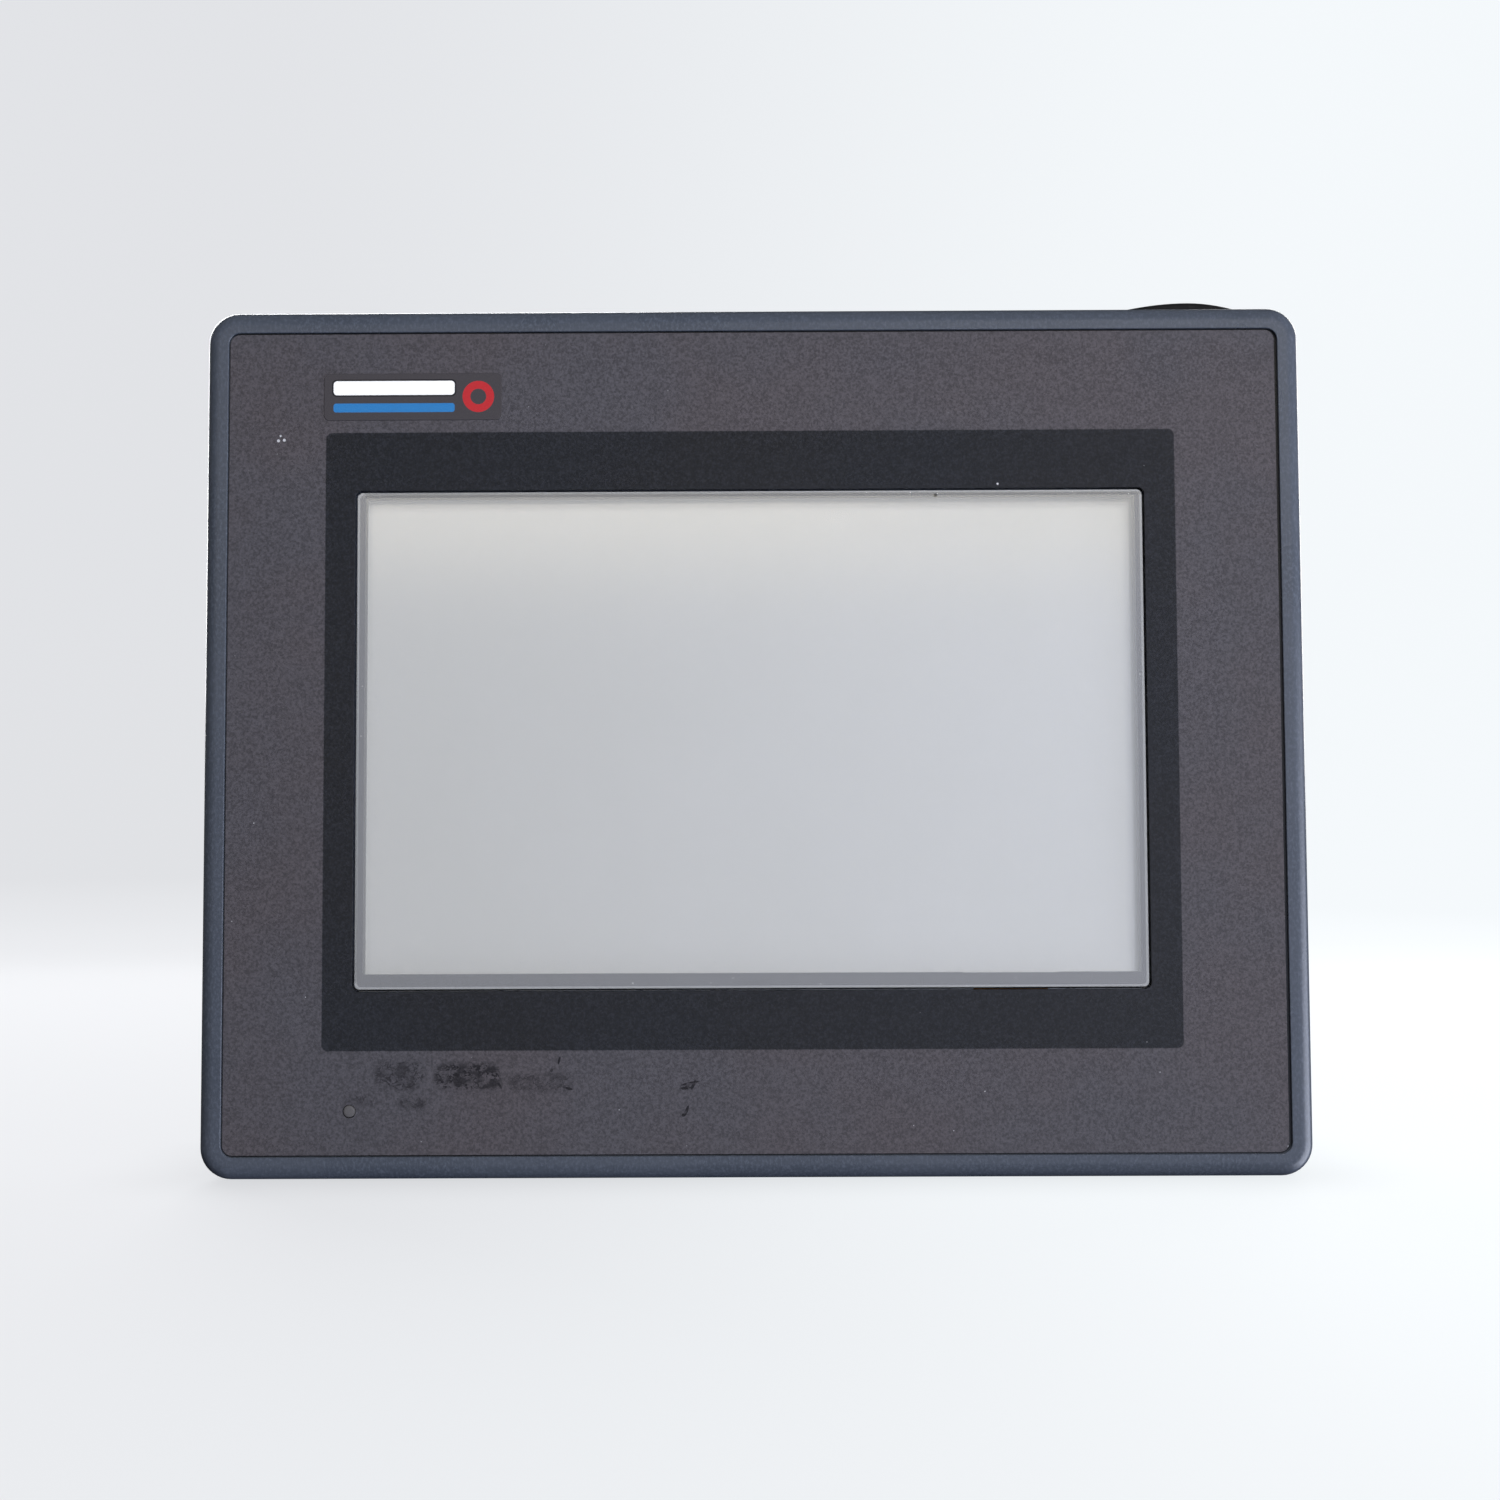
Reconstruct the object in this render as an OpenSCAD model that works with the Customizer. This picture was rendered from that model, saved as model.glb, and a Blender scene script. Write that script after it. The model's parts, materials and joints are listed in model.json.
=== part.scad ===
// Panel-mounted operator terminal with a resistive touch screen.
// Frame: the display faces -Y, +X is to the right seen from the front, +Z is up.
// The origin is the centre of the plane in which the bezel's flange meets the panel.

/* [Bezel] */
// Width of the bezel
bezel_w = 207.8; // [204:0.2:214]
// Height of the bezel
bezel_h = 164; // [160:0.5:168]
// Thickness of the bezel in front of the panel
bezel_t = 8.5; // [8.5:0.1:9]
// Corner radius of the bezel seen from the front
bezel_r = 5.9; // [5.7:0.1:6.5]
// Rounding of the bezel's front edge
edge_r = 2.8; // [1:0.1:2.8]
// Width of the plain rim round the printed overlay
rim_w = 4.3; // [3.6:0.1:4.4]

/* [Display] */
// Width of the window in the overlay
window_w = 149.3; // [148:0.1:149.8]
// Height of the window in the overlay
window_h = 94.5; // [93:0.1:95]
// Offset of the window's centre from the bezel's centre along X
window_x = -0.7; // [-1:0.1:1]
// Offset of the window's centre from the bezel's centre along Z
window_z = 0.1; // [-1:0.1:1]
// Width of the screen's visible area
view_w = 145.6; // [144:0.1:145.6]
// Height of the visible area
view_h = 90; // [88:0.1:90]

/* [Housing] */
// Width of the housing that passes through the panel
body_w = 190; // [190:0.5:191]
// Height of the housing
body_h = 146; // [146:0.5:147]
// Depth of the housing behind the panel plane
body_d = 48; // [48:0.5:52]
// Wall thickness of the housing
wall = 2.5; // [2:0.1:2.5]
// Depth of the connector bay
bay_d = 14; // [14:0.5:15]

/* [Moving parts] */
// Travel of a terminal screw when it is backed out
screw_travel = 2; // [1:0.1:2]
// Radial clearance of a shaft in its hole
running_gap = 0.06; // [0.03:0.01:0.09]

/* [Hidden] */
$fn = 48;
eps = 0.01;

// Levels along Y, from the front face to the back
front_y = -bezel_t;
overlay_t = 0.5;
recess_d = 0.7;
seat_y = front_y + recess_d;
plate_t = 2.3;
plate_y = seat_y + plate_t;
film_y = seat_y - 0.32;
film_t = 0.18;
tape_y = film_y + film_t;
tape_t = 0.12;
glass_y = tape_y + tape_t;
glass_t = 1.8;
seal_y = glass_y + glass_t;
lcd_y = plate_y + 0.3;
lcd_sheet = 0.6;
lcd_back_y = lcd_y + 8.3;
chassis_y = 8;
chassis_t = 1;
board_y = 15;
board_t = 1.6;
io_y = 22;
rear_y = body_d;
bay_y = rear_y - bay_d;
floor_y = bay_y - wall;

// Flange: recess for the housing, then the gasket groove, then the outer lip
fit_gap = 0.15;
flange_ledge = 1.5;
groove_w = 3.4;
groove_d = 2.2;
lip_w = 2.8;
groove_mid = lip_w + groove_w / 2;

// Display module
lcd_x = -0.6;
lcd_z = 1;
lcd_w = 163;
lcd_h = 112;
touch_gap = 0.4;
touch_w = window_w - 2 * touch_gap;
touch_h = window_h - 2 * touch_gap;

// Connector bay, open to the back and to the bottom
bay_x = 84;
bay_top = -36.5;
port_z = -55;
serial_x = 20;
printer_x = 63.5;
tool_x = -18;
dip_x = -37;
dip_z = -50;
reset_x = -37;
reset_z = -65;
terminal_x = -66;
pole_pitch = 9.5;
jack_spacing = 47.04;

// Fasteners, as radii
m3 = 1.5;
m3_core = 1.25;
m3_clear = 1.65;
m3_shank = 1.2;
m3_head = 2.8;
m3_head_t = 1.8;

// Places of repeated features, as [x, z]
chassis_bosses = [for (sx = [-1, 1], sz = [-1, 1]) [88 * sx, 66 * sz]];
cover_fixings = [[-88, 56], [88, 56], [-89.5, -58], [89.5, -58]];
main_fixings = [[-38, -58], [80, -58], [-38, 54], [80, 54]];
power_fixings = [[-80, -46], [-50, -46], [-80, 54], [-50, 54]];
io_fixings = [[-38, -58], [80, -58], [42, -41.5]];
expansion_x = 44;
expansion_z = 13;
expansion_fixings = [[expansion_x - 29.5, expansion_z], [expansion_x + 29.5, expansion_z]];
clamp_slots = [for (sx = [-1, 1], sz = [-1, 1]) [62 * sx, sz]];
clamp_y = 14.5;

// ---------------------------------------------------------------- helpers

// A flat outline in X and Z, thickened from y0 towards the back
module slab(y0, t) {
    translate([0, y0 + t, 0]) rotate([90, 0, 0]) linear_extrude(t) children();
}

// A round bar along Y
module rod(y0, t, r) {
    translate([0, y0, 0]) rotate([-90, 0, 0]) cylinder(h = t, r = r);
}

module at(x, z) {
    translate([x, 0, z]) children();
}

module at_each(places) {
    for (p = places) at(p[0], p[1]) children();
}

module rounded(w, h, r) {
    square([w - 2 * r, h], center = true);
    square([w, h - 2 * r], center = true);
    for (sx = [-1, 1], sy = [-1, 1])
        translate([sx * (w / 2 - r), sy * (h / 2 - r)]) circle(r);
}

module frame_outline(w, h, r, inner_w, inner_h, inner_r) {
    difference() {
        rounded(w, h, r);
        rounded(inner_w, inner_h, inner_r);
    }
}

// Section through a slab's edge: u from the corner's axis outwards, v up to a rounded shoulder
module edge_section(r, t, e) {
    square([r, t - e]);
    square([r - e, t]);
    translate([r - e, t - e]) circle(e);
}

// A slab on the XY plane with round corners and a rounded upper edge
module soft_slab(w, h, t, r, e) {
    cx = w / 2 - r;
    cy = h / 2 - r;
    translate([-cx, -cy, 0]) cube([2 * cx, 2 * cy, t]);
    for (q = [0 : 3]) {
        sx = (q == 0 || q == 3) ? 1 : -1;
        sy = q < 2 ? 1 : -1;
        translate([sx * cx, sy * cy, 0]) rotate(90 * q)
            rotate_extrude(angle = 90) edge_section(r, t, e);
    }
    for (s = [0, 1]) {
        mirror([0, s, 0]) translate([-cx, cy, 0]) rotate([90, 0, 90])
            linear_extrude(2 * cx) edge_section(r, t, e);
        mirror([s, 0, 0]) translate([cx, cy, 0]) rotate([90, 0, 0])
            linear_extrude(2 * cy) edge_section(r, t, e);
    }
}

// A hexagonal bar along Y, with two flats facing X
module hex_bar(y0, t, flats) {
    rotate([-90, 30, 0]) translate([0, 0, y0])
        cylinder(h = t, r = flats / sqrt(3), $fn = 6);
}

// Pan-head screw whose head rests on the plane y0 and points to the back
module pan_screw(y0, length) {
    rod(y0 - length, length + m3_head_t / 2, m3_shank);
    rod(y0, m3_head_t * 0.6, m3_head);
    difference() {
        rod(y0 + m3_head_t * 0.6, m3_head_t * 0.4, m3_head * 0.86);
        cross_recess(y0 + m3_head_t - 0.5, m3_head);
    }
}

module cross_recess(y0, size) {
    slab(y0, 1) {
        square([size * 1.1, size * 0.26], center = true);
        square([size * 0.26, size * 1.1], center = true);
    }
}

// A wire through a list of points, with a round swelling at each bend
module wire(points, r) {
    for (i = [0 : len(points) - 2]) {
        a = points[i];
        d = points[i + 1] - a;
        translate(a) rotate([0, acos(d[2] / norm(d)), atan2(d[1], d[0])])
            cylinder(h = norm(d), r = r, $fn = 16);
        if (i > 0) translate(a) sphere(r * 1.15, $fn = 16);
    }
}

// ---------------------------------------------------------------- front

module front_bezel() {
    window_gap = 0.1;
    inner_w = body_w - 2 * wall;
    inner_h = body_h - 2 * wall;
    color("#4c525e") difference() {
        union() {
            difference() {
                rotate([90, 0, 0]) soft_slab(bezel_w, bezel_h, bezel_t, bezel_r, edge_r);
                slab(plate_y, bezel_t) rounded(inner_w, inner_h, 1.5);
                slab(-flange_ledge, flange_ledge + 1)
                    rounded(body_w + 2 * fit_gap, body_h + 2 * fit_gap, 4 + fit_gap);
                slab(-groove_d, groove_d + 1) frame_outline(
                    bezel_w - 2 * lip_w, bezel_h - 2 * lip_w, 6.7,
                    bezel_w - 2 * (lip_w + groove_w), bezel_h - 2 * (lip_w + groove_w), 3.3);
            }
            at_each(chassis_bosses) rod(plate_y - 0.5, chassis_y - plate_y + 0.5, 3.5);
        }
        slab(front_y - 1, recess_d + 1)
            rounded(bezel_w - 2 * rim_w, bezel_h - 2 * rim_w, 2.2);
        at(window_x, window_z) slab(front_y - 1, bezel_t + 2)
            rounded(window_w + 2 * window_gap, window_h + 2 * window_gap, 1.4);
        at(led_x, led_z) rod(front_y - 1, 6, led_r + 0.1);
        at_each(chassis_bosses) rod(-0.5, chassis_y + 1, m3_core);
    }
}

led_x = -75.7;
led_z = -69.3;
led_r = 1.15;

// Printed sheet, a little smaller than its recess and stuck down slightly to the left
module front_overlay() {
    seam_side = 0.4;
    seam_end = 0.3;
    shift = -0.15;
    color("#49454a") difference() {
        at(shift, 0) slab(seat_y - overlay_t, overlay_t)
            rounded(bezel_w - 2 * (rim_w + seam_side), bezel_h - 2 * (rim_w + seam_end), 1.85);
        at(window_x, window_z) slab(seat_y - 1, 2) rounded(window_w, window_h, 1.3);
        at(led_x, led_z) rod(seat_y - 1, 2, led_r + 0.1);
    }
}

module name_badge() {
    color("#2c2d33") at(-64.5, 65.3) slab(seat_y - overlay_t - 0.15, 0.15) rounded(33.8, 9, 1);
}

// A short light pipe, glued to the bezel by a tab on its inside
module status_led_lens() {
    sunk = 0.25;
    color("#8b8e90") at(led_x, led_z) {
        rod(front_y + sunk, plate_y - front_y + 1.8, led_r);
        at(0, 1.6) slab(plate_y, 1) square([4, 4.4], center = true);
    }
}

// The seal lies in its groove, apart from one stretch near the upper right corner
// that has sprung out over the lip and shows above the bezel's top edge.
gasket_w = 3.2;
gasket_h = 2.8;
gasket_corner = 5;
gasket_half_w = bezel_w / 2 - groove_mid;
gasket_half_h = bezel_h / 2 - groove_mid;
gasket_side = gasket_half_w - gasket_corner;
gasket_rise = gasket_half_h - gasket_corner;
gasket_arc = gasket_corner * PI / 2;
bulge_x = 84.5;
bulge_left = 39;
bulge_right = 29;
bulge_height = lip_w + groove_w / 2 - gasket_w / 2 + 3.05;
bulge_lift = 2.25;
lift_run = 8;

// Distances along the seal, counted from the bulge's peak towards the right
right_run = gasket_side - bulge_x;
gasket_legs = [right_run, gasket_arc, 2 * gasket_rise, gasket_arc, 2 * gasket_side,
    gasket_arc, 2 * gasket_rise, gasket_arc, bulge_x + gasket_side];
function total(list, n) = n == 0 ? 0 : list[n - 1] + total(list, n - 1);
gasket_length = total(gasket_legs, 9);

// Where leg n starts, as [x, z], and its heading in degrees
function leg_turn(n) = -90 * floor(n / 2);
gasket_corners = [[1, 1], [1, -1], [-1, -1], [-1, 1]];

// Place and heading of the seal's middle line, s mm after the peak
function gasket_leg(s, n = 0) =
    n == 8 || s < total(gasket_legs, n + 1) ? n : gasket_leg(s, n + 1);
function gasket_heading(s) =
    let (n = gasket_leg(s), into = s - total(gasket_legs, n))
    n % 2 == 0 ? leg_turn(n) : leg_turn(n) - 90 * into / gasket_arc;
function gasket_middle(s) =
    let (n = gasket_leg(s),
        into = s - total(gasket_legs, n),
        c = gasket_corners[floor(n / 2) % 4],
        hub = [c[0] * gasket_side, c[1] * gasket_rise],
        a = gasket_heading(s),
        out = gasket_corner * [-sin(a), cos(a)],
        back = (n % 2 == 0 ? gasket_legs[n] - into : 0) * [cos(a), sin(a)])
    n == 8 ? [into - gasket_side, gasket_rise + gasket_corner] : hub + out - back;

function from_peak(s) = min(s, gasket_length - s);
function bulge_reach(s) = s < gasket_length / 2 ? bulge_right : bulge_left;
function bulge_out(s) =
    from_peak(s) > bulge_reach(s) ? 0
    : bulge_height * (1 + cos(180 * from_peak(s) / bulge_reach(s))) / 2;
function bulge_up(s) =
    let (d = (from_peak(s) - bulge_reach(s)) / lift_run)
    d > 1 ? 0 : d < 0 ? bulge_lift : bulge_lift * (1 + cos(180 * d)) / 2;

// One ring of the seal: a rectangle with its corners taken off
function gasket_ring(s) =
    let (a = gasket_heading(s),
        n = [-sin(a), cos(a)],
        m = gasket_middle(s) + bulge_out(s) * n,
        w = gasket_w / 2,
        low = 0.7 - gasket_h + bulge_up(s),
        high = 0.7 + bulge_up(s),
        c = 0.6,
        section = [[-w + c, low], [w - c, low], [w, low + c], [w, high - c],
            [w - c, high], [-w + c, high], [-w, high - c], [-w, low + c]])
    [for (p = section) [m[0] + p[0] * n[0], p[1], m[1] + p[0] * n[1]]];

corner_steps = 6;
gasket_stations = concat(
    [for (s = [0 : 1.5 : bulge_right + lift_run + 2]) s],
    [for (n = [3, 5, 7], i = [0 : corner_steps])
        total(gasket_legs, n) + gasket_arc * i / corner_steps],
    [for (s = [bulge_left + lift_run : -1.5 : 1.4]) gasket_length - s]
);

module panel_gasket() {
    rings = [for (s = gasket_stations) gasket_ring(s)];
    n = len(rings);
    color("#1b1b1c") polyhedron(
        points = [for (r = rings, p = r) p],
        faces = [for (i = [0 : n - 1], k = [0 : 7])
            let (j = (i + 1) % n, m = (k + 1) % 8)
            each [[i * 8 + k, i * 8 + m, j * 8 + m], [i * 8 + k, j * 8 + m, j * 8 + k]]]
    );
}

module touch_film() {
    color("#c9cbc6") at(window_x, window_z) slab(film_y, film_t) rounded(touch_w, touch_h, 1);
}

// Adhesive spacer between film and glass, wider at the bottom where the leads run
module touch_spacer_tape() {
    color("#8f9095") slab(tape_y, tape_t) difference() {
        translate([window_x, window_z]) rounded(touch_w, touch_h, 1);
        translate([lcd_x, lcd_z]) square([view_w, view_h], center = true);
    }
}

module touch_glass() {
    color("#b9c4c4") at(window_x, window_z) slab(glass_y, glass_t) rounded(touch_w, touch_h, 1);
}

// Foam frame that closes the gap round the glass and rests on the display's frame
module touch_seal() {
    depth = lcd_y - seal_y;
    front_depth = plate_y - seal_y;
    notch_w = 18;
    glass_low = window_z - touch_h / 2;
    color("#2a2a2b") difference() {
        union() {
            at(window_x, window_z) slab(seal_y, front_depth) rounded(touch_w + 0.6, touch_h + 0.6, 1.2);
            at(window_x, window_z) slab(seal_y, depth) rounded(touch_w - 0.4, touch_h - 0.4, 0.8);
        }
        at(lcd_x, lcd_z) slab(seal_y - 1, depth + 2) square([view_w, view_h], center = true);
        // way out for the flat lead, behind the strip that closes the gap
        translate([tail_x - notch_w / 2, seal_y - 1, glass_low + 0.1])
            cube([notch_w, depth + 2, 3]);
        translate([tail_x - notch_w / 2, plate_y - 0.02, glass_low - 1]) cube([notch_w, depth, 3]);
    }
}

tail_x = 48;
tail_w = 14;
tail_t = 0.15;
tail_top = window_z - touch_h / 2 + 0.6;

// Flat lead from the touch glass, down behind the bezel and back to the main board
module touch_tail() {
    down_y = plate_y + 0.08;
    low_z = -60.5;
    color("#a8742c") translate([tail_x - tail_w / 2, 0, 0]) {
        translate([0, seal_y, tail_top - 0.4]) cube([tail_w, tail_t, 0.9]);
        translate([0, seal_y, tail_top - 0.4]) cube([tail_w, down_y - seal_y + tail_t, tail_t]);
        translate([0, down_y, low_z]) cube([tail_w, tail_t, tail_top - 0.4 - low_z + tail_t]);
        translate([0, down_y, low_z]) cube([tail_w, board_y - down_y, tail_t]);
    }
}

// ---------------------------------------------------------------- display module

module lcd_frame() {
    sheet = lcd_sheet;
    color("#b4b6b8") at(lcd_x, lcd_z) difference() {
        slab(lcd_y, lcd_back_y - lcd_y) rounded(lcd_w, lcd_h, 1.5);
        slab(lcd_y + sheet, 20) rounded(lcd_w - 2 * sheet, lcd_h - 2 * sheet, 0.9);
        slab(lcd_y - 1, 3) square([view_w + 1.6, view_h + 1.6], center = true);
        translate([lcd_w / 2 - 3, lcd_y + 4, 45]) cube([6, 3.5, 6]);
    }
}

lcd_glass_y = lcd_y + 0.7;
lcd_glass_t = 2.4;
holder_y = lcd_glass_y + lcd_glass_t;
holder_t = 4.2;

module lcd_glass() {
    color("#c7cac6") at(lcd_x, lcd_z) slab(lcd_glass_y, lcd_glass_t) square([157, 102], center = true);
}

// Moulded tray that carries the glass, the light guide and the lamp
module lcd_holder() {
    color("#e6e6e2") at(lcd_x, lcd_z) difference() {
        slab(holder_y, holder_t) rounded(lcd_w - 1.6, lcd_h - 1.6, 0.8);
        slab(holder_y - 1, holder_t + 2) square([150.6, 98.6], center = true);
        translate([74, holder_y + 0.9, 45]) cube([10, 2.8, 6]);
    }
}

module light_guide() {
    color("#eef3f4") at(lcd_x, lcd_z - 2.1) slab(holder_y + 0.1, 3.8) square([150, 94], center = true);
}

// Cold-cathode lamp along the light guide's upper edge
lamp_r = 1.3;
lamp_z = 47;
module backlight_tube() {
    color("#f4f4f0") at(lcd_x, lcd_z + lamp_z) translate([-71, holder_y + 2.1, 0])
        rotate([0, 90, 0]) cylinder(h = 142, r = lamp_r);
    color("#3a3a3a") at(lcd_x, lcd_z + lamp_z) for (s = [-1, 1])
        translate([s * 72.9, holder_y + 2.1, 0])
            cube([3.8, 3.4, 3.6], center = true);
}

inverter_z = 64.5;
module lamp_leads() {
    start = [lcd_x + 74.8, holder_y + 2.1, lcd_z + 47.8];
    color("#d8d4d0") for (i = [0, 1])
        let (x = 82.9 - 1.1 * i, y = 11.2 + 1.4 * i)
            wire([start - [0, 0, 1.5 * i], [x, start[1], start[2] - 1.5 * i], [x, start[1], 61],
                [x, y, 61], [x - 2, y, inverter_z], [50.2, y, inverter_z]], 0.5);
}

module lcd_back_plate() {
    color("#9fa2a5") at(lcd_x, lcd_z) slab(holder_y + holder_t, lcd_back_y - holder_y - holder_t)
        rounded(lcd_w - 1.6, lcd_h - 1.6, 0.8);
}

driver_y = lcd_back_y + 0.3;
module lcd_driver_board() {
    color("#3f7d46") at(lcd_x, -38) slab(driver_y, 1.2) square([150, 26], center = true);
    color("#222426") for (x = [-56, -28, 0, 52])
        at(lcd_x + x, -36) slab(driver_y + 1.2, 1.2) square([16, 5], center = true);
    color("#ece7da") at(25, -44) slab(driver_y + 1.2, 2) square([34, 5], center = true);
}

module lcd_pads() {
    color("#2b2b2c") for (x = [-70, 70], z = [-12, 48])
        at(lcd_x + x, lcd_z + z) slab(lcd_back_y, chassis_y - lcd_back_y) square(10, center = true);
}

// ---------------------------------------------------------------- chassis and boards

module chassis_plate() {
    color("#b9bcbe") difference() {
        slab(chassis_y, chassis_t) rounded(183, 139, 2);
        at_each(chassis_bosses) rod(chassis_y - 1, 4, m3_clear);
        at(25, -44) slab(chassis_y - 1, 4) square([36, 7], center = true);
        at(81.5, 61) rod(chassis_y - 1, 4, 2.6);
        at(tail_x, -60.5) slab(chassis_y - 1, 4) square([20, 4], center = true);
        for (x = [-60 : 24 : 60], z = [-12, 24])
            at(x, z) slab(chassis_y - 1, 4) rounded(14, 22, 2);
    }
}

module cover_posts() {
    post_y = chassis_y + chassis_t;
    color("#c8a24a") at_each(cover_fixings) difference() {
        hex_bar(post_y, rear_y - 4.5 - post_y, 5.4);
        rod(rear_y - 13, 10, m3_core);
    }
}

// Threaded spacers under the main, power and connector boards
module board_standoffs() {
    post_y = chassis_y + chassis_t;
    color("#c8a24a") {
        at_each(concat(main_fixings, power_fixings)) difference() {
            hex_bar(post_y, board_y - post_y, 5);
            rod(post_y + 1, 10, m3_core);
        }
        at_each([io_fixings[0], io_fixings[1]]) {
            rod(board_y - 3, board_t + 3, m3_shank);
            difference() {
                hex_bar(board_y + board_t, io_y - board_y - board_t, 5);
                rod(io_y - 4, 6, m3_core);
            }
        }
        at(io_fixings[2][0], io_fixings[2][1]) difference() {
            hex_bar(board_y + board_t, io_y - board_y - board_t, 5);
            rod(io_y - 4, 6, m3_core);
        }
    }
}

module board_screws() {
    upper_main = [main_fixings[2], main_fixings[3]];
    color("#aeb1b3") {
        at_each(chassis_bosses) pan_screw(chassis_y + chassis_t, 8);
        at_each(concat(upper_main, power_fixings)) pan_screw(board_y + board_t, 6);
        at_each(io_fixings) pan_screw(io_y + board_t, 5);
    }
}

module main_board() {
    color("#2f6b3a") difference() {
        at(21, -2) slab(board_y, board_t) square([126, 120], center = true);
        at_each(main_fixings) rod(board_y - 1, 4, m3_clear);
    }
    color("#ece7da") at(25, -44) slab(board_y - 3, 3) square([34, 5], center = true);
    color("#ece7da") at(tail_x, -59.1) slab(board_y - 3, 3) square([18, 2], center = true);
}

module main_board_chips() {
    chip_y = board_y + board_t;
    color("#232527") {
        at(16, -22) slab(chip_y, 2.4) square([28, 28], center = true);
        at(-18, -24) slab(chip_y, 2.2) square([20, 14], center = true);
        for (i = [0 : 3]) at(52 + 9 * i - 4, -22) slab(chip_y, 1.8) square([6.5, 20], center = true);
        for (i = [0 : 2]) at(-28 + 13 * i, 44) slab(chip_y, 2) square([8, 16], center = true);
        at(34, 44) slab(chip_y, 3.2) square([30, 12], center = true);
    }
}

module expansion_socket() {
    socket_y = board_y + board_t;
    color("#1d1e20") at(expansion_x, expansion_z) difference() {
        slab(socket_y, 9) rounded(50, 8, 0.6);
        slab(socket_y + 2, 10) square([46.4, 5.2], center = true);
    }
    color("#d9b45a") at(expansion_x, expansion_z) for (i = [-12 : 12], s = [-1, 1])
        translate([1.8 * i, socket_y + 4.5, 1.2 * s]) cube([0.6, 5.2, 0.6], center = true);
}

module display_ribbon() {
    ribbon_y = driver_y + 3.2;
    color("#c9c7c2") at(25, -44) slab(ribbon_y, board_y - 3 - ribbon_y)
        square([30, 0.6], center = true);
}

battery_x = -14;
battery_z = 6;
module battery_holder() {
    holder_base = board_y + board_t;
    color("#1f2022") at(battery_x, battery_z) difference() {
        rod(holder_base, 5, 12.2);
        rod(holder_base + 1, 6, 10.3);
        slab(holder_base + 2, 6) translate([0, -12]) square([9, 8], center = true);
    }
}

module coin_battery() {
    color("#c6c9cb") at(battery_x, battery_z) {
        rod(board_y + board_t + 1.05, 3.2, 10);
        rod(board_y + board_t + 4.25, 0.3, 8.6);
    }
}

module buzzer() {
    color("#191a1b") at(4, 30) difference() {
        rod(board_y + board_t, 7, 6);
        rod(board_y + board_t + 5.5, 3, 1);
    }
}

module inverter_board() {
    base = chassis_y + chassis_t;
    color("#2f6b3a") at(10, inverter_z) slab(base + 2, 1.2) square([80, 8.6], center = true);
    color("#8a8d8f") for (x = [-26, 46]) at(x, inverter_z) rod(base, 2, 1.8);
    color("#2a2723") at(28, inverter_z) slab(base + 3.2, 6) rounded(19, 7.6, 0.8);
    color("#b8862f") at(-14, inverter_z) rod(base + 3.2, 5, 3.4);
}

module power_board() {
    color("#2f6b3a") difference() {
        at(-65, 4) slab(board_y, board_t) square([38, 108], center = true);
        at_each(power_fixings) rod(board_y - 1, 4, m3_clear);
    }
    color("#d9d5c8") at(terminal_x, lead_z) slab(board_y + board_t, 6) square([24, 5], center = true);
}

// Bobbin and laminated core of the mains transformer
module transformer() {
    base = board_y + board_t;
    color("#6b5a3c") at(-65, 6) slab(base, 21) rounded(25, 21, 2);
    color("#57585a") at(-65, 6) for (s = [-1, 1])
        translate([0, base + 11, s * 13]) cube([28, 16, 5], center = true);
}

module filter_capacitors() {
    base = board_y + board_t;
    color("#2c3350") {
        at(-56, 38) rod(base, 20, 7.8);
        at(-74, 38) rod(base, 16, 5);
        at(-74, -22) rod(base, 14, 5);
        at(-58, -24) rod(base, 18, 6.2);
    }
}

// Three wires from the terminal block to the header on the power board
lead_z = -41;
module power_leads() {
    header_y = board_y + board_t + 6;
    color("#7d2f2b") for (x = poles)
        wire([[x, floor_y - 2, port_z], [x, header_y + 3, port_z],
            [x, header_y + 3, lead_z], [x, header_y, lead_z]], 0.9);
}

module io_board() {
    color("#2f6b3a") difference() {
        at(20, -53) slab(io_y, board_t) square([128, 30], center = true);
        at_each(io_fixings) rod(io_y - 1, 4, m3_clear);
    }
    color("#ece7da") at(0, -42) slab(board_y + board_t, io_y - board_y - board_t)
        square([40, 5], center = true);
    color("#1f2022") at(reset_x, reset_z) slab(io_y + board_t, 3.4) square(6, center = true);
}

// ---------------------------------------------------------------- housing

module vent_row(count, pitch) {
    for (i = [0 : count - 1]) translate([(i - (count - 1) / 2) * pitch, 0, 0]) children();
}

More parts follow.
